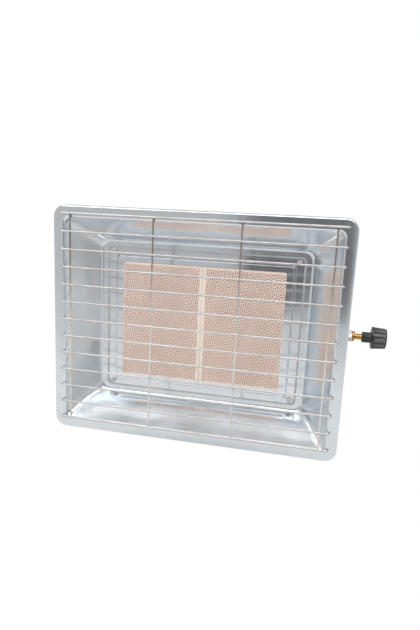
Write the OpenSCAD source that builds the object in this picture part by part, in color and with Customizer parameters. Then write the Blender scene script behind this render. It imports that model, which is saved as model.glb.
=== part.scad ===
// Portable propane radiant heater: a pressed tray reflector round a plenum
// burner with two perforated ceramic plates, a welded wire guard, a needle valve
// with its knob at the right, and a folding wire stand behind.
//
// Everything is built upright first: +X right, +Y from the rim into the tray,
// +Z up, origin at the middle of the rim's front face. panel_pose() then leans
// the heater back on its stand and sets it down on the ground.

/* [Reflector tray] */
// Outer width of the rim
rim_w = 312; // [308:1:330]
// Outer height of the rim
rim_h = 246; // [243:1:260]
// Radius of the rim's outer corners
rim_corner_r = 12; // [10:0.5:16]
// Width of the rim's flat, from its outer edge to the tray's opening
rim_flat_w = 11.7; // [10:0.1:13]
// Corner radius of the tray's opening
opening_corner_r = 6.5; // [6:0.5:9]
// Depth of the tray's floor behind the rim
tray_depth = 40; // [36:0.5:44]
// Corner radius where the walls meet the floor
floor_corner_r = 9.5; // [8:0.5:12]
// Depth of the rim's folded skirt
skirt_depth = 8; // [6:0.5:12]
// Radius of the fold at the rim's outer edge
fold_r = 2.25; // [2:0.25:3.5]
// Radius of the bend from the rim into the wall
lip_r = 3; // [2:0.25:4]
// Radius of the fillet from the wall to the floor
fillet_r = 4; // [3:0.5:4]
// Thickness of the tray's sheet
tray_t = 0.7; // [0.5:0.1:1]

/* [Burner frame] */
// Width of the window in the frame
window_w = 180.6; // [176:0.2:182]
// Height of the window in the frame
window_h = 129; // [126:0.2:130]
// Width of the frame's sides, from its edge to the window
frame_side = 19.7; // [18:0.1:21]
// Height of the frame's top and bottom, from its edge to the window
frame_top = 17; // [15:0.1:18]
// Gap at each side between the frame and the tray's fillet
frame_gap_x = 4.7; // [3:0.1:7]
// Gap above and below between the frame and the tray's fillet
frame_gap_z = 0.2; // [0.2:0.1:3]
// Width of the frame's flat border, where the screws sit
frame_border = 10.2; // [9:0.1:11]
// Width of the flat lip that holds the ceramic plates
frame_lip = 4; // [3.8:0.1:5]
// Height of the lip above the border
frame_rise = 3.4; // [2.4:0.1:4]
// Corner radius of the frame
frame_corner_r = 5; // [4:0.5:7]
// Thickness of the frame's sheet
frame_t = 0.8; // [0.6:0.1:1]

/* [Ceramic plates] */
// How far the frame covers the plates at each side
tile_cover_x = 3.2; // [2:0.1:3.8]
// How far the frame covers the plates above and below
tile_cover_z = 1.5; // [1:0.1:2]
// Thickness of a ceramic plate
tile_t = 13; // [12:0.5:14]
// Diameter of a bore through a ceramic plate, coarser than the real 1.3 mm
bore_d = 3; // [2:0.1:3.6]
// Width of the plain margin round the bores
bore_margin = 3.4; // [3:0.1:5]
// Number of bores in a full row
bore_columns = 11; // [6:1:12]
// Number of rows of bores
bore_rows = 18; // [10:1:19]
// Width of the fibre strip between the plates
strip_w = 3; // [2:0.25:3.5]
// Thickness of the fibre gasket behind the plates
gasket_t = 2; // [1.5:0.25:3]
// Width of the ledge that the gasket sits on
ledge_w = 5; // [4:0.25:6]

/* [Burner box] */
// Thickness of the burner box's sheet
box_t = 1.2; // [1:0.1:1.4]
// Gap between the ceramic plates and the box wall
tile_gap = 1.5; // [0.5:0.25:2]
// Depth of the mixture chamber behind the ledge
chamber_depth = 21.2; // [20.8:0.1:24]
// Corner radius of the burner box
box_corner_r = 6; // [4:0.5:8]
// Thickness of the perforated baffle
baffle_t = 0.8; // [0.5:0.1:1]
// Diameter of the baffle's holes
baffle_hole_d = 9; // [6:0.5:11]
// Pitch of the baffle's holes
baffle_pitch = 19; // [16:0.5:24]

/* [Mixer and injector] */
// Depth of the valve and mixer axis behind the rim
axis_depth = 63; // [62.8:0.1:63.4]
// Height of the valve and mixer axis above the tray's middle
axis_height = -2.5; // [-6:0.5:6]
// Outer diameter of the mixer tube
mixer_d = 17; // [15:0.25:17.5]
// Wall of the mixer tube
mixer_wall = 1.2; // [1:0.1:1.6]
// Diameter of the mixer's throat
throat_d = 10; // [8:0.25:11]
// Outer diameter of the mixer's mouth
mouth_d = 23.5; // [20:0.5:24]
// Distance from the burner box to the mixer's mouth
mouth_reach = 28; // [26:0.5:30]
// Length of the mixer tube inside the burner box
mixer_inside = 145; // [120:1:160]
// Diameter of the jet's orifice
jet_d = 0.9; // [0.6:0.05:1.2]
// Gap between the mixer's mouth and the jet
jet_gap = 2; // [1:0.25:3]

/* [Valve] */
// Outer diameter of the valve body
body_d = 18; // [16.5:0.25:19]
// Length of the valve body, up to the bracket
body_len = 29; // [28:0.25:32]
// Diameter of the valve's threaded neck
neck_d = 8; // [8:0.1:8.6]
// Width across the flats of the panel nut
nut_af = 11; // [10.5:0.25:13]
// Thickness of the panel nut
nut_t = 5; // [4:0.25:6]
// Diameter of the gland cap
cap_d = 11.2; // [10.5:0.1:12]
// Thickness of the gland cap
cap_t = 2.7; // [2.4:0.1:3.5]
// Diameter of the spindle
spindle_d = 6.2; // [6:0.05:6.3]
// Length of spindle that shows between the cap and the knob
spindle_shown = 7.6; // [5:0.1:10]
// Width across the flats of the sliding needle
needle_af = 9.2; // [9:0.1:10]
// Lead of the thread that drives the needle
needle_lead = 1.5; // [1:0.1:1.6]
// Turn of the knob from shut to full, in degrees
knob_turn = 270; // [180:5:270]
// Radial running clearance of the spindle
run_gap = 0.05; // [0.02:0.01:0.08]
// Radial clearance of a screwed joint
thread_gap = 0.03; // [0.02:0.01:0.05]

/* [Knob] */
// Diameter of the knob at its inner end
knob_d = 24.4; // [22:0.1:27]
// Diameter of the knob at its outer end
knob_end_d = 21.8; // [20:0.1:22]
// Length of the fluted head
knob_len = 15.4; // [13:0.1:18]
// Diameter of the knob's neck
hub_d = 11.6; // [10.5:0.1:13]
// Length of the knob's neck
hub_len = 9.8; // [8:0.1:12]
// Number of flutes round the knob
flute_count = 12; // [8:1:16]
// Diameter of the cutter for one flute
flute_d = 3.2; // [2.5:0.1:3.6]
// Diameter of the spindle's end inside the knob
tang_d = 5; // [4.6:0.1:5.2]

/* [Gas inlet] */
// Outside diameter of the inlet's thread, G 3/8 left hand
inlet_d = 16.66; // [13:0.01:17]
// Length of the inlet's thread
inlet_len = 13; // [10:0.5:16]
// Width across the flats of the inlet's hexagon
inlet_af = 19; // [19:0.5:22]
// Thickness of the inlet's hexagon
inlet_hex_t = 6; // [5:0.5:8]
// Bore through the inlet
inlet_bore_d = 5; // [4:0.25:5.5]

/* [Guard] */
// Diameter of the guard's wires
wire_d = 2.3; // [2:0.1:3]
// Number of level wires
bar_count = 13; // [9:1:13]
// Gap from the rim's lower edge to the middle of the lowest level wire
bar_foot = 12.84; // [11:0.02:14]
// Gap from the rim's upper edge to the middle of the highest level wire
bar_head = 8.04; // [7:0.02:10]
// Gap from the rim's side to the end of a level wire
bar_inset = 8; // [6:0.5:9]
// Distance from the end of a level wire to the outer upright wire
upright_inset = 11.35; // [9:0.05:14]

/* [Stand and lean] */
// Lean of the heater from upright, in degrees
lean = 13.3; // [11:0.1:15]
// Diameter of the stand's wire
stand_wire_d = 5; // [4.5:0.1:5.5]
// Distance between the middles of the stand's two arms
stand_w = 120; // [116:1:124]
// Length of an arm, from its pivot to the middle of the foot bar
arm_len = 168; // [165:0.5:169]
// Height of the pivot above the tray's middle
pivot_height = 50; // [48:0.5:50]
// Distance of the pivot behind the burner box
pivot_off = 7; // [6.8:0.1:8]
// Bend radius at the middle of the stand's wire
stand_bend_r = 10; // [8:0.5:14]
// Thickness of the brackets' sheet
bracket_t = 1.5; // [1.2:0.1:2]
// Gap between an arm and its stop
stop_gap = 0.3; // [0.3:0.05:0.4]

/* [Fasteners] */
// Distance of a frame screw from the frame's side edge
screw_in_x = 7.2; // [6.8:0.1:8]
// Distance of a frame screw from the frame's upper or lower edge
screw_in_z = 5.5; // [5:0.1:6.5]
// Diameter of a frame screw
screw_d = 3; // [2.5:0.1:3.4]
// Diameter of a rivet
rivet_d = 4; // [3.2:0.1:4.2]
// Radial clearance of a screw or rivet in its hole
hole_gap = 0.1; // [0.05:0.01:0.2]

/* [Hidden] */
$fn = 48;

// Segments of a sheet bend and of a sheet corner
bend_steps = 4;
corner_steps = 6;
// Overshoot of a cut past the face that it leaves
cut = 1;
// Gap at a weld between two round wires
weld_gap = 0.05;

// The frame, its screws and the plates follow the window
frame_w = window_w + 2 * frame_side;
frame_h = window_h + 2 * frame_top;
screw_x = frame_w - 2 * screw_in_x;
screw_z = frame_h - 2 * screw_in_z;
tile_w = (window_w + 2 * tile_cover_x - strip_w) / 2;
tile_h = window_h + 2 * tile_cover_z;

// The tray's flat floor starts a gap outside the frame. The fillet reaches there
// and touches the wall, which sets how far the wall runs inwards.
floor_start_x = (rim_w - frame_w) / 2 - frame_gap_x;
floor_start_z = (rim_h - frame_h) / 2 - frame_gap_z;
fillet_share = fillet_r / tray_depth;
floor_reach = floor_start_x - rim_flat_w;
wall_run = (floor_reach * (1 - fillet_share)
    - sqrt(pow(floor_reach * fillet_share, 2) + (1 - 2 * fillet_share) * pow(fillet_r, 2)))
    / (1 - 2 * fillet_share);

// Slope of the tray's wall from the rim's face, in degrees, and the inset at
// which the bend between them starts
wall_angle = atan2(tray_depth, wall_run);
lip_start = rim_flat_w - lip_r * tan(wall_angle / 2);

// Depths behind the rim, from front to back
floor_back = tray_depth + tray_t;
border_face = tray_depth - frame_t;
lip_face = border_face - frame_rise;
tile_face = lip_face + frame_t;
gasket_face = tile_face + tile_t;
ledge_face = gasket_face + gasket_t;
chamber_face = ledge_face + box_t;
chamber_back = chamber_face + chamber_depth;
box_back = chamber_back + box_t;
flange_back = floor_back + box_t;

// Burner frame, whose height shrinks inwards a little less than its width
frame_ratio = frame_top / frame_side;
frame_slope_run = frame_side - frame_border - frame_lip;
frame_angle = atan2(frame_rise, frame_slope_run);
frame_bend_r = 1.6;
frame_window_r = 2.5;

// Burner box, from the plates outwards and inwards
seat_w = 2 * tile_w + strip_w + 2 * tile_gap;
seat_h = tile_h + 2 * tile_gap;
chamber_w = seat_w - 2 * ledge_w - 2 * box_t;
chamber_h = seat_h - 2 * ledge_w - 2 * box_t;
baffle_gap = 0.2;
rail_w = 8;

// Places along the valve's axis, from the burner box to the knob's face
box_side = chamber_w / 2 + box_t;
collar_t = 2;
collar_rise = 1.3;
mouth_rim = 2;
bell_len = 9;
cone_len = 14;
throat_len = 4;
spread_len = 26;
mouth_x = box_side + mouth_reach;
jet_tip_x = mouth_x + jet_gap;
jet_tip_r = 2;
jet_cone_r = 3.6;
jet_cone_len = 4;
jet_plate_t = 1.5;
jet_hex_af = 10;
jet_hex_t = 5;
jet_thread_d = 7;
jet_thread_len = 5;
body_x = jet_tip_x + jet_cone_len + jet_hex_t;
jet_end_x = body_x + jet_thread_len;
lug_in_x = body_x + body_len;
lug_out_x = lug_in_x + bracket_t;
cap_x = lug_out_x + nut_t;
cap_end_x = cap_x + cap_t;
cap_wall = 1;
knob_x = cap_end_x + spindle_shown;
head_x = knob_x + hub_len;
knob_end_x = head_x + knob_len;

// Inside the valve body
seat_x = jet_end_x + 3;
seat_d = 3;
bonnet_d = 14;
bonnet_len = 5.2;
cavity_end_x = lug_in_x - bonnet_len;
cavity_gap = 0.1;
collar_gap = 0.2;
spindle_collar_t = 2;
spindle_collar_d = needle_af - 0.2;
collar_end_x = cavity_end_x - collar_gap;
collar_x = collar_end_x - spindle_collar_t;
needle_cone_len = 2;
needle_tip_r = 0.4;
needle_cone_r = 2.45;
needle_x = seat_x + needle_cone_len;
needle_tip_x = seat_x - needle_cone_len;
needle_lift = needle_lead * knob_turn / 360;
needle_end_gap = 0.8;
needle_end_x = collar_x - needle_lift - needle_end_gap;
drive_d = 4;
drive_tip_gap = 0.6;
needle_web = 1.8;
needle_bore_x = needle_x + needle_web;
drive_tip_x = needle_bore_x + needle_lift + drive_tip_gap;
seal_groove_w = 1.4;
seal_section_d = 0.96;
seal_gap = 0.02;
seal_x = lug_in_x + bracket_t;
seal_groove_d = spindle_d - 2 * seal_section_d - 2 * seal_gap;

// Inside the knob
tang_flat = 0.6;
tang_len = hub_len + 9;
knob_rim_t = 1.8;
knob_collar_t = 2.8;
knob_recess_d = 15;
knob_recess = 1.6;
knob_chamfer = 0.8;
hub_chamfer = 0.6;
flute_rise = 0.3;
set_screw_d = 3;
set_screw_len = 2.6;
set_screw_key = 1.5;
set_screw_x = knob_x + 4.6;

// Gas inlet, measured down from the valve's axis
inlet_x = seat_x + 4;
boss_d = 14;
boss_len = 15;
stub_d = 8;
stub_len = 6;
stub_gap = 0.5;
washer_t = 1;
washer_z = axis_height - boss_len;
inlet_hex_z = washer_z - washer_t;
inlet_thread_z = inlet_hex_z - inlet_hex_t;
inlet_end_z = inlet_thread_z - inlet_len;
inlet_cone_d = 11;
inlet_cone_len = 4;

// Valve bracket
bracket_w = 24;
bracket_hold = 40;
bracket_start_x = box_side - bracket_hold;
bracket_bend_r = 3;
lug_edge = 2;
lug_front = axis_depth - body_d / 2 - lug_edge;
valve_rivets_x = [bracket_start_x + 7, bracket_start_x + 31];

// Rivets and screws
rivet_head_d = 6.6;
rivet_head_t = 1.3;
rivet_tail_d = 5.6;
rivet_tail_t = 1.2;
rivet_hole_d = rivet_d + 2 * hole_gap;
screw_head_d = 6;
screw_head_t = 2;
screw_tail = 4;
screw_slot_w = 0.7;
screw_slot_depth = 0.9;
screw_nut_af = 5.5;
screw_nut_t = 2.4;
screw_hole_d = screw_d + 2 * hole_gap;

// Guard
upright_y = -weld_gap - wire_d / 2;
bar_y = upright_y - wire_d - weld_gap;
bar_bend_r = 2.2;
upright_over = 1.4;
bar_span = rim_w - 2 * bar_inset;
bar_low = bar_foot - rim_h / 2;
bar_high = rim_h / 2 - bar_head;
bar_pitch = (bar_high - bar_low) / (bar_count - 1);
upright_count = 4;
upright_pitch = (bar_span - 2 * upright_inset) / (upright_count - 1);

// Stand: depth of its pivot, and the angle of its arms from the panel
pivot_depth = box_back + pivot_off;
ear_gap = 4;
ear_x = stand_w / 2 - stand_wire_d / 2 - ear_gap - bracket_t;
ear_r = 6.5;
ear_tail_w = 11;
base_w = 21;
base_h = 24;
stand_rivet_off = 7;
stand_rivet_x = ear_x - 12;
pin_end_x = ear_x - 6;
clip_t = 0.8;
clip_d = 9.6;
clip_gap = 0.3;
stop_start = 9;
stop_len = 8;
stop_top = stand_wire_d / 2 + stop_gap + bracket_t;
pivot_bend_r = 3.5;
ground = -rim_h / 2 * cos(lean) - skirt_depth * sin(lean);
pivot_level = pivot_height * cos(lean) - pivot_depth * sin(lean) - ground;
arm_drop = pivot_level - stand_wire_d / 2;
arm_from_upright = acos(arm_drop / arm_len);
arm_angle = arm_from_upright + lean;

// The part's own box, which puts its origin on the ground in the middle of it
front_y = bar_y * cos(lean) + bar_low * sin(lean) - wire_d / 2;
back_y = pivot_depth * cos(lean) + pivot_height * sin(lean)
    + arm_len * sin(arm_from_upright) + stand_wire_d / 2;
origin_x = (knob_end_x - rim_w / 2) / 2;
origin_y = (front_y + back_y) / 2;

// ---------- placing ----------

module panel_pose() {
    translate([-origin_x, -origin_y, -ground]) rotate([-lean, 0, 0]) children();
}

// Extrudes an outline drawn in X and Z from depth y, away from the viewer
module depth_extrude(y, t) {
    translate([0, y + t, 0]) rotate([90, 0, 0]) linear_extrude(t) children();
}

// Extrudes an outline drawn in Y and Z along X
module along_x(x, len) {
    translate([x, 0, 0]) rotate([90, 0, 90]) linear_extrude(len) children();
}

// A solid of revolution on the valve's axis; points are [radius, x]
module on_axis(points) {
    translate([0, axis_depth, axis_height]) rotate([0, 90, 0]) rotate_extrude() polygon(points);
}

module axis_rod(x, len, d) {
    translate([x, axis_depth, axis_height]) rotate([0, 90, 0]) cylinder(d = d, h = len);
}

module axis_hex(x, len, af) {
    translate([x, axis_depth, axis_height]) rotate([0, 90, 0])
        cylinder(d = af / cos(30), h = len, $fn = 6);
}

// A solid of revolution on the inlet's axis; points are [radius, z]
module on_inlet(points) {
    translate([inlet_x, axis_depth, 0]) rotate_extrude() polygon(points);
}

module depth_rod(x, z, y, len, d) {
    translate([x, y + len, z]) rotate([90, 0, 0]) cylinder(d = d, h = len);
}

module four_corners(dx, dz) {
    for (sx = [-1, 1], sz = [-1, 1]) translate([sx * dx / 2, 0, sz * dz / 2]) children();
}

module both_sides() {
    children();
    mirror([1, 0, 0]) children();
}

module rounded_rect(w, h, r) {
    square([w - 2 * r, h], center = true);
    square([w, h - 2 * r], center = true);
    for (sx = [-1, 1], sy = [-1, 1]) translate([sx * (w / 2 - r), sy * (h / 2 - r)]) circle(r);
}

// ---------- pressed sheet ----------
// A station is [width, height, corner radius, depth, direction of the sheet].

// One rounded outline at a depth, as points
function outline(w, h, r, y) = [
    for (q = [0 : 3], i = [0 : corner_steps])
        let (a = 90 * q + 90 * i / corner_steps,
             sx = (q == 0 || q == 3) ? 1 : -1,
             sz = q < 2 ? 1 : -1)
        [sx * (w / 2 - r) + r * cos(a), y, sz * (h / 2 - r) + r * sin(a)]
];

// The outline on the sheet's back, one thickness behind a station
function back_outline(s, t) =
    let (e = t * sin(s[4]))
    outline(s[0] + 2 * e, s[1] + 2 * e, s[2] + e, s[3] + t * cos(s[4]));

// Points [inset, depth, direction] round a bend; hollow bends open to the front
function bend_points(inset, y, r, a0, a1, hollow) = [
    for (i = [0 : bend_steps])
        let (a = a0 + (a1 - a0) * i / bend_steps, s = hollow ? -1 : 1)
        [inset + s * r * sin(a), y - s * r * cos(a), a]
];

module pressed_sheet(stations, t) {
    fronts = [for (s = stations) outline(s[0], s[1], s[2], s[3])];
    backs = [for (i = [len(stations) - 1 : -1 : 0]) back_outline(stations[i], t)];
    rings = concat(fronts, backs);
    n = len(rings[0]);
    m = len(rings);
    polyhedron(
        points = [for (ring = rings, p = ring) p],
        faces = [
            for (k = [0 : m - 1], i = [0 : n - 1])
                let (k2 = (k + 1) % m, i2 = (i + 1) % n)
                [k * n + i, k2 * n + i, k2 * n + i2, k * n + i2]
        ],
        convexity = 6
    );
}

// ---------- tray and frame ----------

// Corner radius of the tray at an inset from its outer edge
function tray_corner(e) =
    e < rim_flat_w
    ? rim_corner_r + (opening_corner_r - rim_corner_r) * e / rim_flat_w
    : opening_corner_r + (floor_corner_r - opening_corner_r) * min(1, (e - rim_flat_w) / wall_run);

// Stations of the tray; its height takes in a little more or less than its width
function tray_stations(profile, more) = [
    for (p = profile)
        [rim_w - 2 * p[0], rim_h - 2 * (p[0] + more), tray_corner(p[0]), p[1], p[2]]
];

module reflector_tray() {
    rim = concat(
        [[0, skirt_depth, -90]],
        bend_points(fold_r, fold_r, fold_r, -90, 0, false),
        bend_points(lip_start, lip_r, lip_r, 0, wall_angle, false)
    );
    foot = bend_points(floor_start_x, tray_depth - fillet_r, fillet_r, wall_angle, 0, true);
    stations = concat(
        tray_stations(rim, 0),
        tray_stations(foot, floor_start_z - floor_start_x),
        [[seat_w, seat_h, tile_gap, tray_depth, 0]]
    );
    color("lightsteelblue") difference() {
        pressed_sheet(stations, tray_t);
        four_corners(screw_x, screw_z)
            depth_rod(0, 0, tray_depth - cut, tray_t + 2 * cut, screw_hole_d);
    }
}

function frame_station(p) = [
    frame_w - 2 * p[0],
    frame_h - 2 * p[0] * frame_ratio,
    frame_corner_r + (frame_window_r - frame_corner_r) * p[0] / frame_side,
    p[1],
    p[2]
];

module burner_frame() {
    lean_in = frame_bend_r * tan(frame_angle / 2);
    profile = concat(
        [[0, border_face, 0]],
        bend_points(frame_border - lean_in, border_face - frame_bend_r, frame_bend_r,
            0, -frame_angle, true),
        bend_points(frame_border + frame_slope_run + lean_in, lip_face + frame_bend_r,
            frame_bend_r, -frame_angle, 0, false),
        [[frame_side, lip_face, 0]]
    );
    color("silver") difference() {
        pressed_sheet([for (p = profile) frame_station(p)], frame_t);
        four_corners(screw_x, screw_z)
            depth_rod(0, 0, border_face - cut, frame_t + 2 * cut, screw_hole_d);
    }
}

// ---------- burner ----------

module ceramic_tile(side) {
    field_w = tile_w - 2 * bore_margin - bore_d;
    field_h = tile_h - 2 * bore_margin - bore_d;
    pitch_x = field_w / (bore_columns - 1);
    pitch_z = field_h / (bore_rows - 1);
    color("rosybrown") translate([side * (tile_w + strip_w) / 2, 0, 0]) difference() {
        depth_extrude(tile_face, tile_t) square([tile_w, tile_h], center = true);
        for (j = [0 : bore_rows - 1], i = [0 : bore_columns - 1 - j % 2])
            depth_rod((i + j % 2 / 2) * pitch_x - field_w / 2, j * pitch_z - field_h / 2,
                tile_face - cut, tile_t + 2 * cut, bore_d);
    }
}

module tile_centre_strip() {
    color("ivory") depth_extrude(tile_face, tile_t) square([strip_w, tile_h], center = true);
}

module tile_gasket() {
    side_w = (chamber_w - rail_w) / 2;
    color("ivory") depth_extrude(gasket_face, gasket_t) difference() {
        rounded_rect(seat_w - 2 * baffle_gap, seat_h - 2 * baffle_gap, tile_gap);
        for (s = [-1, 1]) translate([s * (rail_w + side_w) / 2, 0])
            square([side_w, chamber_h], center = true);
    }
}

module tile_rail() {
    color("lightgray") depth_extrude(ledge_face, box_t)
        square([rail_w, chamber_h], center = true);
}

module burner_box() {
    color("lightgray") difference() {
        union() {
            depth_extrude(floor_back, box_t) rounded_rect(frame_w, frame_h, frame_corner_r);
            depth_extrude(floor_back, chamber_face - floor_back)
                rounded_rect(seat_w + 2 * box_t, seat_h + 2 * box_t, tile_gap + box_t);
            depth_extrude(floor_back, box_back - floor_back)
                rounded_rect(chamber_w + 2 * box_t, chamber_h + 2 * box_t, box_corner_r + box_t);
        }
        depth_extrude(floor_back - cut, ledge_face - floor_back + cut)
            rounded_rect(seat_w, seat_h, tile_gap);
        depth_extrude(floor_back, chamber_back - floor_back)
            rounded_rect(chamber_w, chamber_h, box_corner_r);
        four_corners(screw_x, screw_z)
            depth_rod(0, 0, floor_back - cut, box_t + 2 * cut, screw_hole_d);
        axis_rod(box_side - box_t - cut, box_t + 2 * cut, mixer_d + 2 * thread_gap);
        rivet_places() depth_rod(0, 0, chamber_back - cut, box_t + 2 * cut, rivet_hole_d);
    }
}

module mixture_baffle() {
    columns = floor((chamber_w - baffle_pitch) / 2 / baffle_pitch);
    rows = floor((chamber_h - baffle_pitch) / 2 / baffle_pitch);
    color("lightgray") depth_extrude(chamber_face, baffle_t) difference() {
        rounded_rect(chamber_w - 2 * baffle_gap, chamber_h - 2 * baffle_gap, box_corner_r);
        for (i = [-columns : columns], j = [-rows : rows])
            translate([i, j] * baffle_pitch) circle(d = baffle_hole_d);
    }
}

module mixer_tube() {
    bore_r = mixer_d / 2 - mixer_wall;
    mouth_r = mouth_d / 2;
    collar_r = mixer_d / 2 + collar_rise;
    throat_x = mouth_x - cone_len;
    color("gainsboro") on_axis([
        [bore_r, box_side - box_t - mixer_inside],
        [mixer_d / 2, box_side - box_t - mixer_inside],
        [mixer_d / 2, box_side],
        [collar_r, box_side],
        [collar_r, box_side + collar_t],
        [mixer_d / 2, box_side + collar_t],
        [mixer_d / 2, mouth_x - bell_len],
        [mouth_r, mouth_x - mouth_rim],
        [mouth_r, mouth_x],
        [mouth_r - mixer_wall, mouth_x],
        [throat_d / 2, throat_x],
        [throat_d / 2, throat_x - throat_len],
        [bore_r, throat_x - throat_len - spread_len]
    ]);
}

// ---------- valve ----------

module injector() {
    color("goldenrod") difference() {
        union() {
            on_axis([
                [0, jet_tip_x], [jet_tip_r, jet_tip_x],
                [jet_cone_r, jet_tip_x + jet_cone_len], [0, jet_tip_x + jet_cone_len]
            ]);
            axis_hex(jet_tip_x + jet_cone_len, jet_hex_t, jet_hex_af);
            axis_rod(body_x, jet_thread_len, jet_thread_d);
        }
        axis_rod(jet_tip_x - cut, jet_plate_t + 2 * cut, jet_d);
        axis_rod(jet_tip_x + jet_plate_t, jet_end_x + cut - jet_tip_x - jet_plate_t, seat_d);
    }
}

module valve_body() {
    color("darkgoldenrod") difference() {
        union() {
            axis_rod(body_x, body_len, body_d);
            on_inlet([[0, washer_z], [boss_d / 2, washer_z], [boss_d / 2, axis_height],
                [0, axis_height]]);
        }
        axis_rod(body_x - cut, jet_thread_len + cut, jet_thread_d + 2 * thread_gap);
        axis_rod(body_x, seat_x - body_x + cut, seat_d);
        axis_hex(seat_x, cavity_end_x - seat_x, needle_af + 2 * cavity_gap);
        axis_rod(cavity_end_x, bonnet_len + cut, bonnet_d + 2 * thread_gap);
        on_inlet([
            [0, washer_z - cut],
            [stub_d / 2 + thread_gap, washer_z - cut],
            [stub_d / 2 + thread_gap, washer_z + stub_len + stub_gap],
            [inlet_bore_d / 2, washer_z + stub_len + stub_gap],
            [inlet_bore_d / 2, axis_height],
            [0, axis_height]
        ]);
    }
}

module valve_bonnet() {
    color("darkgoldenrod") difference() {
        union() {
            axis_rod(cavity_end_x, bonnet_len, bonnet_d);
            axis_rod(cavity_end_x, cap_end_x - cap_wall - cavity_end_x, neck_d);
        }
        axis_rod(cavity_end_x - cut, cap_end_x - cavity_end_x + cut, spindle_d + 2 * run_gap);
    }
}

module panel_nut() {
    color("silver") difference() {
        axis_hex(lug_out_x, nut_t, nut_af);
        axis_rod(lug_out_x - cut, nut_t + 2 * cut, neck_d + 2 * thread_gap);
    }
}

module gland_cap() {
    color("goldenrod") difference() {
        axis_rod(cap_x, cap_t, cap_d);
        axis_rod(cap_x - cut, cap_t - cap_wall + cut, neck_d + 2 * thread_gap);
        axis_rod(cap_x, cap_t + cut, spindle_d + 2 * run_gap);
    }
}

// The spindle's end in the knob: a round tang with one flat
module tang(extra) {
    intersection() {
        axis_rod(knob_x - cut, tang_len + cut + extra, tang_d + 2 * extra);
        translate([knob_x - 2 * cut, axis_depth - tang_d, axis_height - tang_d])
            cube([tang_len + 4 * cut, tang_d * 1.5 - tang_flat + extra, 2 * tang_d]);
    }
}

module valve_spindle() {
    color("goldenrod") difference() {
        union() {
            axis_rod(drive_tip_x, collar_x - drive_tip_x + cut, drive_d);
            axis_rod(collar_x, spindle_collar_t, spindle_collar_d);
            axis_rod(collar_x, knob_x - collar_x, spindle_d);
            tang(0);
        }
        on_axis([
            [seal_groove_d / 2, seal_x], [spindle_d, seal_x],
            [spindle_d, seal_x + seal_groove_w], [seal_groove_d / 2, seal_x + seal_groove_w]
        ]);
    }
}

module spindle_seal() {
    color("dimgray") translate([seal_x + seal_groove_w / 2, axis_depth, axis_height])
        rotate([0, 90, 0]) rotate_extrude()
            translate([(seal_groove_d + seal_section_d) / 2 + seal_gap, 0])
                circle(d = seal_section_d);
}

module valve_needle() {
    color("gold") difference() {
        union() {
            on_axis([
                [0, needle_tip_x], [needle_tip_r, needle_tip_x], [needle_cone_r, needle_x],
                [needle_cone_r, needle_x + needle_web / 2], [0, needle_x + needle_web / 2]
            ]);
            axis_hex(needle_x, needle_end_x - needle_x, needle_af);
        }
        axis_rod(needle_bore_x, needle_end_x - needle_bore_x + cut, drive_d + 2 * run_gap);
    }
}

// ---------- knob ----------

module control_knob() {
    groove_x = head_x + knob_collar_t;
    groove_len = knob_len - knob_collar_t - knob_rim_t;
    color([0.2, 0.2, 0.21]) difference() {
        on_axis([
            [0, knob_x],
            [hub_d / 2 - hub_chamfer, knob_x],
            [hub_d / 2, knob_x + hub_chamfer],
            [hub_d / 2, head_x],
            [knob_d / 2 - knob_chamfer, head_x],
            [knob_d / 2, head_x + knob_chamfer],
            [knob_end_d / 2, knob_end_x - knob_chamfer],
            [knob_end_d / 2 - knob_chamfer, knob_end_x],
            [knob_recess_d / 2, knob_end_x],
            [knob_recess_d / 2, knob_end_x - knob_recess],
            [0, knob_end_x - knob_recess]
        ]);
        for (i = [0 : flute_count - 1])
            translate([0, axis_depth, axis_height]) rotate([(i + 0.5) * 360 / flute_count, 0, 0])
                translate([groove_x, 0, knob_d / 2 + flute_rise]) rotate([0, 90, 0])
                    cylinder(d = flute_d, h = groove_len);
        tang(thread_gap);
        depth_rod(set_screw_x, axis_height, axis_depth, hub_d, set_screw_d + 2 * thread_gap);
    }
}

module knob_set_screw() {
    start = axis_depth + tang_d / 2 - tang_flat + thread_gap;
    color("dimgray") difference() {
        depth_rod(set_screw_x, axis_height, start, set_screw_len, set_screw_d);
        translate([set_screw_x, start + set_screw_len + cut, axis_height]) rotate([90, 0, 0])
            cylinder(d = set_screw_key / cos(30), h = set_screw_len / 2 + cut, $fn = 6);
    }
}

// ---------- gas inlet ----------

module inlet_connector() {
    color("goldenrod") difference() {
        union() {
            translate([inlet_x, axis_depth, washer_z - washer_t])
                cylinder(d = stub_d, h = washer_t + stub_len);
            translate([inlet_x, axis_depth, inlet_thread_z])
                cylinder(d = inlet_af / cos(30), h = inlet_hex_t, $fn = 6);
            translate([inlet_x, axis_depth, inlet_end_z]) cylinder(d = inlet_d, h = inlet_len);
        }
        on_inlet([
            [0, inlet_end_z - cut], [inlet_cone_d / 2, inlet_end_z - cut],
            [inlet_cone_d / 2, inlet_end_z], [inlet_bore_d / 2, inlet_end_z + inlet_cone_len],
            [inlet_bore_d / 2, washer_z + stub_len + cut], [0, washer_z + stub_len + cut]
        ]);
    }
}

module inlet_washer() {
    color("peru") on_inlet([
        [stub_d / 2 + hole_gap, inlet_hex_z], [boss_d / 2, inlet_hex_z],
        [boss_d / 2, washer_z], [stub_d / 2 + hole_gap, washer_z]
    ]);
}

// ---------- brackets, rivets and screws ----------

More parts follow.
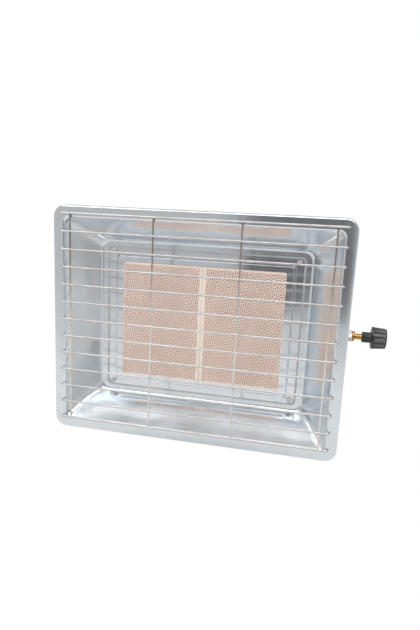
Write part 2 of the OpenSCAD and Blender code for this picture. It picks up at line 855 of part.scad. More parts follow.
module valve_bracket() {
    r = bracket_bend_r;
    outer = box_back + bracket_t;
    color("lightsteelblue") difference() {
        translate([0, 0, axis_height - bracket_w / 2]) linear_extrude(bracket_w) {
            translate([bracket_start_x, box_back])
                square([lug_out_x - r - bracket_start_x, bracket_t]);
            translate([lug_in_x, lug_front]) square([bracket_t, outer - r - lug_front]);
            translate([lug_out_x - r, outer - r]) intersection() {
                difference() {
                    circle(r);
                    circle(r - bracket_t);
                }
                square(r);
            }
        }
        axis_rod(lug_in_x - cut, bracket_t + 2 * cut, neck_d + 2 * hole_gap);
        for (x = valve_rivets_x)
            depth_rod(x, axis_height, box_back - cut, bracket_t + 2 * cut, rivet_hole_d);
    }
}

module rivet_places() {
    for (x = valve_rivets_x) translate([x, 0, axis_height]) children();
    for (sx = [-1, 1], sz = [-1, 1])
        translate([sx * stand_rivet_x, 0, pivot_height + sz * stand_rivet_off]) children();
}

module rivets() {
    head_y = box_back + bracket_t;
    color("silver") rivet_places() {
        depth_rod(0, 0, head_y, rivet_head_t, rivet_head_d);
        depth_rod(0, 0, chamber_back, head_y - chamber_back, rivet_d);
        depth_rod(0, 0, chamber_back - rivet_tail_t, rivet_tail_t, rivet_tail_d);
    }
}

module frame_screws() {
    color("gainsboro") four_corners(screw_x, screw_z) difference() {
        union() {
            depth_rod(0, 0, border_face - screw_head_t, screw_head_t, screw_head_d);
            depth_rod(0, 0, border_face, flange_back - border_face + screw_tail, screw_d);
        }
        for (a = [45, 135]) translate([0, border_face - screw_head_t, 0]) rotate([0, a, 0])
            cube([screw_head_d * 0.6, 2 * screw_slot_depth, screw_slot_w], center = true);
    }
}

module frame_nuts() {
    color("silver") four_corners(screw_x, screw_z) difference() {
        translate([0, flange_back + screw_nut_t, 0]) rotate([90, 0, 0])
            cylinder(d = screw_nut_af / cos(30), h = screw_nut_t, $fn = 6);
        depth_rod(0, 0, flange_back - cut, screw_nut_t + 2 * cut, screw_d + 2 * thread_gap);
    }
}

// ---------- guard ----------

// One level wire: straight, with both ends turned back to the rim
module guard_bar() {
    half = bar_span / 2 - wire_d / 2;
    tip = -weld_gap - bar_y - bar_bend_r;
    translate([-half + bar_bend_r, bar_y, 0]) rotate([0, 90, 0])
        cylinder(d = wire_d, h = 2 * (half - bar_bend_r));
    both_sides() {
        translate([half - bar_bend_r, bar_y + bar_bend_r, 0]) rotate([0, 0, -90])
            rotate_extrude(angle = 90) translate([bar_bend_r, 0]) circle(d = wire_d);
        translate([half, bar_y + bar_bend_r + tip, 0]) rotate([90, 0, 0])
            cylinder(d = wire_d, h = tip);
    }
}

module guard_bars() {
    color("gainsboro") for (i = [0 : bar_count - 1])
        translate([0, 0, bar_low + i * bar_pitch]) guard_bar();
}

module guard_uprights() {
    first = -upright_pitch * (upright_count - 1) / 2;
    color("silver") for (i = [0 : upright_count - 1])
        translate([first + i * upright_pitch, upright_y, bar_low - upright_over])
            cylinder(d = wire_d, h = bar_high - bar_low + 2 * upright_over);
}

// ---------- stand ----------

// Drawn in depth and height: the ear round the pivot and out to the stop
module ear_outline() {
    translate([pivot_depth, pivot_height]) {
        circle(ear_r);
        translate([-pivot_off, -ear_r]) square([pivot_off, 2 * ear_r]);
        rotate(arm_angle - 90) {
            translate([0, -ear_r]) square([stop_start + stop_len, ear_tail_w]);
            translate([stop_start, 0]) square([stop_len, stop_top]);
        }
    }
}

module stand_bracket() {
    difference() {
        union() {
            along_x(ear_x, bracket_t) ear_outline();
            along_x(ear_x, stand_w / 2 + stand_wire_d / 2 - ear_x)
                translate([pivot_depth, pivot_height]) rotate(arm_angle - 90)
                    translate([stop_start, stop_top - bracket_t]) square([stop_len, bracket_t]);
            depth_extrude(box_back, bracket_t)
                translate([ear_x + bracket_t - base_w, pivot_height - base_h / 2])
                    square([base_w, base_h]);
        }
        translate([ear_x - cut, pivot_depth, pivot_height]) rotate([0, 90, 0])
            cylinder(d = stand_wire_d + 2 * run_gap, h = bracket_t + 2 * cut);
        for (s = [-1, 1])
            depth_rod(stand_rivet_x, pivot_height + s * stand_rivet_off, box_back - cut,
                bracket_t + 2 * cut, rivet_hole_d);
    }
}

module stand_brackets() {
    color("lightsteelblue") both_sides() stand_bracket();
}

// One half of the bail, drawn with its pivot on the X axis and its arm down -Z
module bail_half() {
    r = stand_bend_r;
    top_r = pivot_bend_r;
    arm_x = stand_w / 2;
    translate([pin_end_x, 0, 0]) rotate([0, 90, 0])
        cylinder(d = stand_wire_d, h = arm_x - top_r - pin_end_x);
    translate([arm_x - top_r, 0, -top_r]) rotate([90, 0, 0])
        rotate_extrude(angle = 90) translate([top_r, 0]) circle(d = stand_wire_d);
    translate([arm_x, 0, r - arm_len]) cylinder(d = stand_wire_d, h = arm_len - r - top_r);
    translate([arm_x - r, 0, r - arm_len]) rotate([90, 0, 0])
        rotate_extrude(angle = -90) translate([r, 0]) circle(d = stand_wire_d);
    translate([0, 0, -arm_len]) rotate([0, 90, 0])
        cylinder(d = stand_wire_d, h = arm_x - r);
}

module stand_bail() {
    color("silver") translate([0, pivot_depth, pivot_height]) rotate([arm_angle, 0, 0])
        both_sides() bail_half();
}

module stand_clips() {
    color("dimgray") both_sides()
        translate([ear_x - clip_gap - clip_t, pivot_depth, pivot_height]) rotate([0, 90, 0])
            difference() {
                cylinder(d = clip_d, h = clip_t);
                translate([0, 0, -cut])
                    cylinder(d = stand_wire_d + 2 * thread_gap, h = clip_t + 2 * cut);
            }
}

// ---------- nodes ----------

panel_pose() reflector_tray();
panel_pose() burner_frame();
panel_pose() ceramic_tile(-1);  // ceramic_tile_left
panel_pose() ceramic_tile(1);  // ceramic_tile_right
panel_pose() tile_centre_strip();
panel_pose() tile_gasket();
panel_pose() tile_rail();
panel_pose() burner_box();
panel_pose() mixture_baffle();
panel_pose() mixer_tube();
panel_pose() injector();
panel_pose() valve_body();
panel_pose() valve_bonnet();
panel_pose() panel_nut();
panel_pose() gland_cap();
panel_pose() valve_spindle();
panel_pose() spindle_seal();
panel_pose() valve_needle();
panel_pose() control_knob();
panel_pose() knob_set_screw();
panel_pose() inlet_connector();
panel_pose() inlet_washer();
panel_pose() valve_bracket();
panel_pose() rivets();
panel_pose() frame_screws();
panel_pose() frame_nuts();
panel_pose() guard_bars();
panel_pose() guard_uprights();
panel_pose() stand_brackets();
panel_pose() stand_bail();
panel_pose() stand_clips();
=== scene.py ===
# %% [markdown]
# # A portable propane heater
# The heater is a pressed tray of galvanised sheet with two perforated ceramic
# plates in its floor, a welded wire guard in front, a needle valve with a fluted
# knob at the right, and a folding wire stand behind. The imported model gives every
# piece its place and its size. This lesson dresses it: each piece is shaped again
# with the bends, bevels and holes that a plain solid leaves out, and gets a
# finish that is mixed from nodes.

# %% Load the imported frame
import math

import bmesh
import bpy
from mathutils import Matrix, Vector, noise


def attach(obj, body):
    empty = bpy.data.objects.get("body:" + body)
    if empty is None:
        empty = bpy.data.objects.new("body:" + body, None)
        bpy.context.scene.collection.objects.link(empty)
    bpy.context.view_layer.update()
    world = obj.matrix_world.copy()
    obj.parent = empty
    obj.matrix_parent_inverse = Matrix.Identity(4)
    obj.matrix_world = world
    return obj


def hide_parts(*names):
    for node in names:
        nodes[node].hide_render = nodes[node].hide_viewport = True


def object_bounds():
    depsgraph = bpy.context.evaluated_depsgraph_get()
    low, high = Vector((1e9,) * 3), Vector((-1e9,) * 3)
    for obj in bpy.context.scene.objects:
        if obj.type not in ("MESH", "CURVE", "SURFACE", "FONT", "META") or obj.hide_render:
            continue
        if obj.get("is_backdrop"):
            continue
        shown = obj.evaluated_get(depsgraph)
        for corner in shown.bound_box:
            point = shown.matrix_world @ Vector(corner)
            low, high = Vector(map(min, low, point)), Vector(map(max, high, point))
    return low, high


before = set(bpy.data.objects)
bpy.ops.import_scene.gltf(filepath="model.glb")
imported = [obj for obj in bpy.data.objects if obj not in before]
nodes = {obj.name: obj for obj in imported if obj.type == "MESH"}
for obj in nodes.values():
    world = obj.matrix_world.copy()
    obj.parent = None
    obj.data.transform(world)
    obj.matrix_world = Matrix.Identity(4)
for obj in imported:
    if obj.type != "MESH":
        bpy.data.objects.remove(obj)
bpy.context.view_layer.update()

# %% [markdown]
# ## Placing
# The heater leans back on its stand. It is far easier to draw each piece upright
# and in millimetres, with X to the right, Y into the tray from the rim's face and
# Z up, and to lean the finished piece with one matrix. The matrix goes into the
# mesh, so that every object stays at the origin, unturned and unscaled.

# %% The leaning matrix
LEAN = math.radians(13.3)
PANEL_MIDDLE = Vector((-0.022, -0.07103, 0.121541))
MILLIMETRE = 0.001
PANEL = (
    Matrix.Translation(PANEL_MIDDLE)
    @ Matrix.Rotation(-LEAN, 4, "X")
    @ Matrix.Scale(MILLIMETRE, 4)
)
print("rim's middle in metres:", tuple(round(x, 4) for x in PANEL @ Vector((0, 0, 0))))

# %% [markdown]
# ## The camera
# The camera stands a little to the right of the heater and looks down on it. It is
# close, so the near right side looks larger than the far left one. That needs the
# true distance and lens, and neither shift nor tilt.

# %% Camera
camera_data = bpy.data.cameras.new("camera")
camera_data.sensor_width = 36
camera_data.lens = 28.58
camera = bpy.data.objects.new("camera", camera_data)
camera.location = (0.09319, -0.52268, 0.35157)
camera.rotation_euler = (math.radians(65.69), 0, math.radians(12.1))
bpy.context.scene.collection.objects.link(camera)
bpy.context.scene.camera = camera
print("camera to rim's middle, mm:", round((camera.location - PANEL_MIDDLE).length * 1000))

# %% [markdown]
# ## Finishes
# A finish is a small tree of nodes. One function adds a node with its settings
# and its links. Colours are written as the hex values of a paint card and turned
# to the linear values that the shader works with. Patterns read Object
# coordinates scaled to millimetres, so a scale of 1 / 7 means a pattern 7 mm wide.

# %% Node helpers
def linear(code):
    """The linear colour of an sRGB hex value such as C8CED2."""
    channels = [int(code[i:i + 2], 16) / 255 for i in (0, 2, 4)]
    return [c / 12.92 if c <= 0.04045 else ((c + 0.055) / 1.055) ** 2.4 for c in channels] + [1]


def add(tree, kind, sockets=None, **settings):
    """Adds a shader node; sockets get a value, or another node's output to link."""
    made = tree.nodes.new("ShaderNode" + kind)
    for name, value in settings.items():
        setattr(made, name, value)
    for socket, value in (sockets or {}).items():
        if isinstance(value, bpy.types.NodeSocket):
            tree.links.new(value, made.inputs[socket])
        else:
            made.inputs[socket].default_value = value
    return made


def empty_tree(owner):
    """The node tree of a material or a world, with nothing in it."""
    owner.use_nodes = True
    owner.node_tree.nodes.clear()
    return owner.node_tree


def start_finish(name, stretch=(1, 1, 1)):
    """A new material, its tree, and object coordinates in mm, stretched along an axis."""
    material = bpy.data.materials.new(name)
    tree = empty_tree(material)
    place = add(tree, "TexCoord").outputs["Object"]
    scale = [s / MILLIMETRE for s in stretch]
    return material, tree, add(tree, "Mapping", {"Vector": place, "Scale": scale}).outputs[0]


def end_finish(material, tree, sockets):
    """Closes a tree with its surface shader."""
    surface = add(tree, "BsdfPrincipled", sockets)
    add(tree, "OutputMaterial", {"Surface": surface.outputs[0]})
    print("finish:", material.name, len(tree.nodes), "nodes")
    return material


def end_grained(material, tree, tone, grain, low, high, strength, relief, metal):
    """Ends a finish whose grain moves its roughness from low to high and gives relief."""
    rough = add(tree, "MapRange", {"Value": grain, "To Min": low, "To Max": high})
    bump = add(tree, "Bump", {"Height": grain, "Strength": strength, "Distance": relief})
    return end_finish(material, tree, {
        "Base Color": tone.outputs["Result"], "Metallic": metal,
        "Roughness": rough.outputs[0], "Normal": bump.outputs[0]})


# %% [markdown]
# ## Galvanised sheet
# Cold-rolled steel that was hot-dip galvanised before pressing. The zinc is pale
# blue-grey and half mirror: it shows soft, slightly wavy pictures of what is
# round it. Faint crystals of zinc vary its tone and slow clouds its gloss. Fine
# rolling lines, a slow unevenness of the skin and, on the tray, the long marks
# that drawing leaves down its walls bend the reflections.

# %% Galvanised sheet
CRYSTAL_MM, CLOUD_MM, LINE_MM, UNEVEN_MM, MARK_MM = 8, 26, 1.1, 38, 9
ALONG_LINE, ALONG_MARK = 0.03, 0.06


def galvanised(name, base, rough, wave, drawn=0.0):
    """Half-bright zinc-coated sheet; wave and drawn are its uneven heights in metres."""
    material, tree, place = start_finish(name)
    crystal = add(tree, "TexVoronoi", {
        "Vector": place, "Scale": 1 / CRYSTAL_MM, "Randomness": 0.9})
    shade = add(tree, "MapRange", {
        "Value": crystal.outputs["Color"], "To Min": 0.965, "To Max": 1.02})
    tone = add(tree, "Mix", {"Factor": 1.0, "A": linear(base), "B": shade.outputs[0]},
               data_type="RGBA", blend_type="MULTIPLY")
    cloud = add(tree, "TexNoise", {"Vector": place, "Scale": 1 / CLOUD_MM, "Detail": 3})
    gloss = add(tree, "MapRange", {
        "Value": cloud.outputs["Fac"], "From Min": 0.3, "From Max": 0.7,
        "To Min": rough - 0.02, "To Max": rough + 0.03})
    rolled = add(tree, "Mapping", {"Vector": place, "Scale": (ALONG_LINE, 1, 1)})
    lines = add(tree, "TexNoise", {
        "Vector": rolled.outputs[0], "Scale": 1 / LINE_MM, "Detail": 2})
    fine = add(tree, "Bump", {
        "Height": lines.outputs["Fac"], "Strength": 0.12, "Distance": 0.00003})
    slow = add(tree, "TexNoise", {"Vector": place, "Scale": 1 / UNEVEN_MM, "Detail": 1})
    uneven = add(tree, "Bump", {
        "Height": slow.outputs["Fac"], "Strength": 1, "Distance": wave,
        "Normal": fine.outputs[0]})
    pulled = add(tree, "Mapping", {"Vector": place, "Scale": (1, ALONG_MARK, ALONG_MARK)})
    marks = add(tree, "TexNoise", {
        "Vector": pulled.outputs[0], "Scale": 1 / MARK_MM, "Detail": 2})
    skin = add(tree, "Bump", {
        "Height": marks.outputs["Fac"], "Strength": 1, "Distance": drawn,
        "Normal": uneven.outputs[0]})
    return end_finish(material, tree, {
        "Base Color": tone.outputs["Result"], "Metallic": 1,
        "Roughness": gloss.outputs[0], "Normal": skin.outputs[0]})


tray_zinc = galvanised("hot_dip_galvanised_sheet", "ECF1F5", 0.19, 0.00013, 0.00005)
frame_zinc = galvanised("galvanised_frame_sheet", "EFF3F7", 0.14, 0.00008)
box_zinc = galvanised("galvanised_box_sheet", "DDE2E5", 0.26, 0.00012)

# %% [markdown]
# ## Drawn wire and plated fasteners
# The guard and stand are cold-drawn wire, welded and then zinc plated. Plating on
# wire is brighter than galvanised sheet, with a fine grain and duller patches. A
# thin film over the zinc scatters light, so guard and fasteners are only partly
# metallic. The bead along the plate frame's edge gets a darker, still less metallic
# zinc: painted shade for the shadow along that edge. The wires turn browner towards
# the top, the upright ones most.

# %% Plated steel
PATCH_MM, PLATING_GRAIN_MM = 14, 0.6
# The wires turn towards this brown tone higher up, most at the top.
TOP_BROWN = "62564C"
BROWN_FROM, BROWN_TO = 105, 200


def plated(name, base, dull, rough, brown=0.0, metal=1.0):
    """Zinc-plated steel; brown is the share of a brown tone at the top."""
    material, tree, place = start_finish(name)
    patch = add(tree, "TexNoise", {"Vector": place, "Scale": 1 / PATCH_MM, "Detail": 4})
    where = add(tree, "MapRange", {
        "Value": patch.outputs["Fac"], "From Min": 0.46, "From Max": 0.68})
    cold = add(tree, "Mix", {
        "Factor": where.outputs[0], "A": linear(base), "B": linear(dull)}, data_type="RGBA")
    height = add(tree, "SeparateXYZ", {0: place}).outputs["Z"]
    top_browning = add(tree, "MapRange", {
        "Value": height, "From Min": BROWN_FROM, "From Max": BROWN_TO, "To Max": brown})
    tone = add(tree, "Mix", {
        "Factor": top_browning.outputs[0], "A": cold.outputs["Result"], "B": linear(TOP_BROWN)},
        data_type="RGBA")
    grain = add(tree, "TexNoise", {
        "Vector": place, "Scale": 1 / PLATING_GRAIN_MM, "Detail": 2}).outputs["Fac"]
    return end_grained(
        material, tree, tone, grain, rough - 0.08, rough + 0.1, 0.2, 0.00002, metal)


level_zinc = plated("zinc_plated_level_wire", "CECCCB", "BEB9B6", 0.24, 0.12, 0.8)
upright_zinc = plated("zinc_plated_upright_wire", "DAD7D4", "CEC8C2", 0.3, 0.85, 0.5)
stand_zinc = plated("zinc_plated_stand_wire", "C6C9CB", "A9A59C", 0.28)
fastener_zinc = plated("bright_zinc_fastener", "CFD1D3", "B7B6B1", 0.2, 0.0, 0.6)
# Painted shade: the frame's bead gets this darker zinc for the shadow along its edge.
bead_painted_shade_zinc = plated("frame_bead_painted_shade", "A0A5A9", "959A9E", 0.4, 0.0, 0.3)
black_steel = plated("phosphated_steel", "3A3B3D", "2C2A28", 0.45)

# %% [markdown]
# ## Fired ceramic and ceramic fibre
# The plates are cordierite ceramic, pressed with pins and fired: dry, chalky and
# pinkish tan. Fibre gasket board is cream and faintly woolly. Both are rough and
# have no metal in them, so all of their character is in tone and in fine relief.

# %% Ceramic and fibre
MOTTLE_MM = 9


def porous(name, base, deep, grain_mm, relief, stretch=(1, 1, 1)):
    """A dry mineral surface: mottled tone and a fine grain in relief."""
    material, tree, place = start_finish(name, stretch)
    mottle = add(tree, "TexNoise", {
        "Vector": place, "Scale": 1 / MOTTLE_MM, "Detail": 5, "Roughness": 0.7})
    where = add(tree, "MapRange", {
        "Value": mottle.outputs["Fac"], "From Min": 0.35, "From Max": 0.68})
    tone = add(tree, "Mix", {
        "Factor": where.outputs[0], "A": linear(base), "B": linear(deep)}, data_type="RGBA")
    grain = add(tree, "TexNoise", {"Vector": place, "Scale": 1 / grain_mm, "Detail": 3})
    bump = add(tree, "Bump", {
        "Height": grain.outputs["Fac"], "Strength": 0.5, "Distance": relief})
    return end_finish(material, tree, {
        "Base Color": tone.outputs["Result"], "Roughness": 0.85,
        "Specular IOR Level": 0.25, "Normal": bump.outputs[0]})


ceramic = porous("fired_cordierite_ceramic", "E3D1C6", "DBC5B8", 0.5, 0.00008)
# The bores' finish is darker and warmer than the face: painted shade deep inside the bores.
bore_painted_shade = porous("ceramic_bores_painted_shade", "945E46", "86543C", 0.5, 0.00005)
fibre = porous("pressed_ceramic_fibre", "CCC7BF", "C5BDB4", 0.7, 0.0002, (0.35, 1, 1))

# %% [markdown]
# ## Brass, copper, castings, rubber and the knob's plastic
# Valve parts are turned from brass bar, so they show fine rings round their axis.
# Real tool rings are about 0.2 mm wide; they are drawn coarser, or they wouldn't
# show. The mixer tube is a rough aluminium casting. The knob is moulded in black
# thermoset plastic, which is dark grey rather than black once light falls on it.
# The tops of its ribs get a lighter copy of that plastic, a painted highlight for
# the light that the ribs catch over the shaded grooves.

# %% Turned brass and the smaller finishes
RING_MM, TARNISH_MM, CLOUDY_MM = 1.6, 5, 6


def turned(name, base, dull, rough):
    """Bar metal turned on a lathe, with tool rings across the X axis."""
    material, tree, place = start_finish(name)
    rings = add(tree, "TexWave", {
        "Vector": place, "Scale": 1 / RING_MM, "Distortion": 0.6, "Detail": 2},
        bands_direction="X").outputs["Fac"]
    patch = add(tree, "TexNoise", {"Vector": place, "Scale": 1 / TARNISH_MM, "Detail": 3})
    tone = add(tree, "Mix", {
        "Factor": patch.outputs["Fac"], "A": linear(base), "B": linear(dull)}, data_type="RGBA")
    return end_grained(
        material, tree, tone, rings, rough - 0.05, rough + 0.08, 0.15, 0.00002, 1)


def moulded(name, base, light, rough, grain_mm, metal=0.0):
    """A cast or moulded skin: an even tone with a fine pebble grain."""
    material, tree, place = start_finish(name)
    cloud = add(tree, "TexNoise", {"Vector": place, "Scale": 1 / CLOUDY_MM, "Detail": 4})
    tone = add(tree, "Mix", {
        "Factor": cloud.outputs["Fac"], "A": linear(base), "B": linear(light)}, data_type="RGBA")
    grain = add(tree, "TexNoise", {
        "Vector": place, "Scale": 1 / grain_mm, "Detail": 2}).outputs["Fac"]
    return end_grained(
        material, tree, tone, grain, rough - 0.06, rough + 0.06, 0.25, 0.00004, metal)


brass = turned("turned_brass", "D5A757", "A87C3B", 0.2)
copper = turned("annealed_copper_washer", "C77B52", "A9643F", 0.35)
knob_plastic = moulded("moulded_black_thermoset", "262627", "313132", 0.26, 0.35)
# Painted highlight: a lighter copy of the black plastic for the tops of the ribs.
rib_painted_highlight = moulded("ribs_painted_highlight", "484849", "585858", 0.2, 0.35)
rubber = moulded("nitrile_rubber", "1C1C1D", "242425", 0.6, 0.3)
cast_metal = moulded("sand_cast_aluminium", "A9ABAD", "B9BABB", 0.5, 0.6, 1.0)

# %% [markdown]
# ## Finishing a piece
# Every piece ends the same way: doubles merged, faces turned outwards, the whole
# leaned into place, shaded smooth except over real edges, and set to ride on its
# body. Where it stands for a plain CAD node, that node is hidden.

# %% Finish a piece
MERGE_MM = 0.002
SHARP = math.radians(38)


def make_object(bm, name):
    """Writes a bmesh into a new object of the scene."""
    mesh = bpy.data.meshes.new(name)
    bm.to_mesh(mesh)
    bm.free()
    made = bpy.data.objects.new(name, mesh)
    bpy.context.scene.collection.objects.link(made)
    return made


def hand_over(bm, name, finishes, stands_for, body):
    """Makes a bmesh an object with its finishes that rides on its body."""
    piece = make_object(bm, name)
    mesh = piece.data
    mesh.shade_smooth()
    mesh.set_sharp_from_angle(angle=SHARP)
    for finish in finishes:
        mesh.materials.append(finish)
    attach(piece, body)
    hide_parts(*stands_for)
    print("piece:", name, len(mesh.polygons), "faces")


def finish_piece(bm, name, finishes, stands_for, body="heater", turn=True):
    """Merges, turns and leans a bmesh drawn upright in millimetres, and hands it over."""
    bmesh.ops.remove_doubles(bm, verts=bm.verts, dist=MERGE_MM)
    if turn:
        bmesh.ops.recalc_face_normals(bm, faces=bm.faces)
    bmesh.ops.transform(bm, matrix=PANEL, verts=bm.verts)
    hand_over(bm, name, finishes, stands_for, body)


# %% [markdown]
# ## Pressed sheet
# A pressing is one flat sheet that was drawn over a die, so all of its sections
# are rounded rectangles that shrink as they go in. Extruding one closed ring of
# edges again and again, and moving each new ring to the next section, gives clean
# quads that follow the bends. The bend itself is an arc of short steps.

# %% Rings, arcs and the pressing
CORNER_STEPS = 7


def rounded_rectangle(width, height, corner, depth, wide=30, tall=24):
    """Points of a rounded rectangle, as many on each so that rings pair up."""
    points = []
    for quarter, (sx, sz) in enumerate(((1, 1), (-1, 1), (-1, -1), (1, -1))):
        centre = Vector((sx * (width / 2 - corner), depth, sz * (height / 2 - corner)))
        for i in range(CORNER_STEPS + 1):
            a = math.radians(90 * (quarter + i / CORNER_STEPS))
            points.append(centre + corner * Vector((math.cos(a), 0, math.sin(a))))
        level = quarter in (0, 2)
        steps = wide if level else tall
        here = points[-1]
        there = Vector((-here.x, depth, here.z) if level else (here.x, depth, -here.z))
        points += [here.lerp(there, i / steps) for i in range(1, steps)]
    return points


def split(geom):
    """What an operator made, as its vertices, edges and faces."""
    kinds = (bmesh.types.BMVert, bmesh.types.BMEdge, bmesh.types.BMFace)
    return [[g for g in geom if isinstance(g, kind)] for kind in kinds]


def extrude(bm, edges):
    """Extrudes edges and returns the new vertices, edges and faces."""
    return split(bmesh.ops.extrude_edge_only(bm, edges=edges)["geom"])


def pull_rings(bm, rings):
    """Extrudes a ring of edges through a list of rings and returns the last vertices."""
    verts = [bm.verts.new(p) for p in rings[0]]
    edges = [bm.edges.new(pair) for pair in zip(verts, verts[1:] + verts[:1])]
    for ring in rings[1:]:
        new = set(extrude(bm, edges)[0])
        verts = [
            next(e.other_vert(v) for e in v.link_edges if e.other_vert(v) in new) for v in verts]
        for v, p in zip(verts, ring):
            v.co = p
        edges = [bm.edges.get(pair) for pair in zip(verts, verts[1:] + verts[:1])]
    return verts


BEND_STEPS = 6


def bend(inset, depth, radius, start, end, hollow=False):
    """Points (inset, depth) round a bend whose direction runs from start to end in degrees."""
    side = -1 if hollow else 1
    turn = [
        math.radians(start + (end - start) * i / BEND_STEPS) for i in range(BEND_STEPS + 1)]
    return [
        (inset + side * radius * math.sin(a), depth - side * radius * math.cos(a)) for a in turn]


def turn_to(bm, face, sign):
    """Turns an open pressing round where a face of it doesn't point along sign * Y."""
    bm.normal_update()
    if face.normal.y * sign < 0:
        bmesh.ops.reverse_faces(bm, faces=bm.faces)
        bm.normal_update()


# %% [markdown]
# ## The reflector tray
# The rim is flat, folded back over a short skirt, and turns into four sloping
# walls round a flat floor, the upper and lower ones steeper than the side ones.
# Drawn sheet is never quite flat: the walls carry slow waves of a few tenths of a
# millimetre, which is what breaks up their reflections, and the lower wall bows
# in by a few millimetres. So the vertices of the walls are moved by noise and by
# that bow before the sheet gets its thickness.

# %% Tray
RIM, RIM_CORNER = (312, 246), 12
WALL_START, WALL_RUN, TALL_RUN, TRAY_DEPTH = 11.7, 27.5, 23.5, 40
WALL_CORNER, FLOOR_CORNER, WALL_STEPS = 6.5, 9.5, 9
WALL_ANGLE = math.degrees(math.atan2(TRAY_DEPTH, WALL_RUN))
SKIRT, FOLD, LIP, FILLET, TRAY_T = 8, 1.3, 3.4, 4, 0.7
HALF_TURN = math.tan(math.radians(WALL_ANGLE / 2))
OPENING = (190, 135, 1.5)
WAVE, WAVE_FROM, WAVE_TO, WAVE_FADE = 0.45, 3, 37, 9
LONG_WAVE, SHORT_WAVE, SHORT_SHARE = 46, 17, 0.35
BOW, BOW_FROM, BOW_LENGTH, BOW_SKEW = 3.3, 2, 36, 1.5


def tray_corner(inset):
    """Corner radius of the tray at an inset from its outer edge."""
    if inset < WALL_START:
        return RIM_CORNER + (WALL_CORNER - RIM_CORNER) * inset / WALL_START
    down = min(1, (inset - WALL_START) / WALL_RUN)
    return WALL_CORNER + (FLOOR_CORNER - WALL_CORNER) * down


def tray_ring(inset, depth):
    """One section of the tray; its upper and lower walls get less of the inset."""
    past = max(0, inset - WALL_START)
    tall_inset = inset - past * (1 - TALL_RUN / WALL_RUN)
    return rounded_rectangle(
        RIM[0] - 2 * inset, RIM[1] - 2 * tall_inset, tray_corner(inset), depth)


wall_in = bend(WALL_START - LIP * HALF_TURN, LIP, LIP, 0, WALL_ANGLE)
wall_out = bend(
    WALL_START + WALL_RUN + FILLET * HALF_TURN, TRAY_DEPTH - FILLET, FILLET, WALL_ANGLE, 0, True)
(x0, y0), (x1, y1) = wall_in[-1], wall_out[0]
wall = [
    (x0 + (x1 - x0) * i / WALL_STEPS, y0 + (y1 - y0) * i / WALL_STEPS)
    for i in range(1, WALL_STEPS)]
profile = [(0, SKIRT)] + bend(FOLD, FOLD, FOLD, -90, 0) + wall_in + wall + wall_out
sections = [tray_ring(*station) for station in profile]
tray = bmesh.new()
pull_rings(tray, sections + [rounded_rectangle(*OPENING, TRAY_DEPTH)])
turn_to(tray, min(tray.faces, key=lambda f: abs(f.calc_center_median().y - TRAY_DEPTH)), -1)
for v in tray.verts:
    depth = v.co.y
    share = max(0, min(1, (depth - WAVE_FROM) / WAVE_FADE, (WAVE_TO - depth) / WAVE_FADE))
    wave = noise.noise(v.co / LONG_WAVE) + SHORT_SHARE * noise.noise(v.co / SHORT_WAVE)
    down = max(0, min(1, (depth - BOW_FROM) / BOW_LENGTH))
    bow = BOW * max(0, v.normal.z) ** 2 * math.sin(math.pi * down ** BOW_SKEW)
    v.co += v.normal * (share * WAVE * wave + bow)
bmesh.ops.solidify(tray, geom=tray.faces[:], thickness=TRAY_T)
finish_piece(
    tray, "tray_pressing", [tray_zinc], ["reflector_tray"], turn=False)

# %% [markdown]
# ## The plate frame
# A second pressing clamps the ceramic plates: a flat border on the tray's floor,
# a short slope towards the viewer and a flat lip over the plates' edges. Its outer
# edge is rolled to a low bead, painted darker than the rest: painted shade for the
# shadow along the frame's edge. A ring's faces are made together, so those of the
# bead are one run of faces, which gets that finish.

# %% Frame
FRAME, WINDOW = (220, 163), (180.6, 129)
BORDER, SLOPE_RUN, RISE, FRAME_T = 10.4, 1.8, 3.4, 0.8
BAND = (FRAME[0] - WINDOW[0]) / 2
TALL_SHARE = (FRAME[1] - WINDOW[1]) / 2 / BAND
SLOPE = math.degrees(math.atan2(RISE, SLOPE_RUN))
BORDER_Y = TRAY_DEPTH - FRAME_T
LIP_Y = BORDER_Y - RISE
CREASE, FRAME_CORNER, CORNER_LOSS = 1.1, 5, 2.5
BEAD, BEAD_START, BEAD_RISE, BEAD_STEPS = 1.3, 0.1, 0.25, 8
FRAME_WAVE, FRAME_WAVE_LENGTH = 0.08, 30
run_in = CREASE * math.tan(math.radians(SLOPE / 2))
bead = [
    (BEAD_START + BEAD * i / BEAD_STEPS,
     BORDER_Y - BEAD_RISE * math.sin(math.pi * i / BEAD_STEPS))
    for i in range(BEAD_STEPS + 1)]
profile = (
    [(0, BORDER_Y)] + bead + [(BEAD + 0.2, BORDER_Y), (BEAD + 0.9, BORDER_Y)]
    + bend(BORDER - run_in, BORDER_Y - CREASE, CREASE, 0, -SLOPE, True)
    + bend(BORDER + SLOPE_RUN + run_in, LIP_Y + CREASE, CREASE, -SLOPE, 0)
    + [(BAND, LIP_Y)]
)
plate_frame = bmesh.new()
pull_rings(plate_frame, [
    rounded_rectangle(
        FRAME[0] - 2 * e, FRAME[1] - 2 * e * TALL_SHARE,
        FRAME_CORNER - CORNER_LOSS * e / BAND, y, wide=20, tall=16)
    for e, y in profile
])
plate_frame.faces.ensure_lookup_table()
ring_faces = len(plate_frame.faces) // (len(profile) - 1)
# The bead's faces get the darker finish, painted shade along the frame's edge.
for face in plate_frame.faces[ring_faces:ring_faces * (len(bead) + 2)]:
    face.material_index = 1
turn_to(plate_frame, plate_frame.faces[0], -1)
for v in plate_frame.verts:
    v.co.y += FRAME_WAVE * noise.noise(v.co / FRAME_WAVE_LENGTH)
bmesh.ops.solidify(plate_frame, geom=plate_frame.faces[:], thickness=FRAME_T)
finish_piece(
    plate_frame, "plate_frame", [frame_zinc, bead_painted_shade_zinc],
    ["burner_frame"], turn=False)

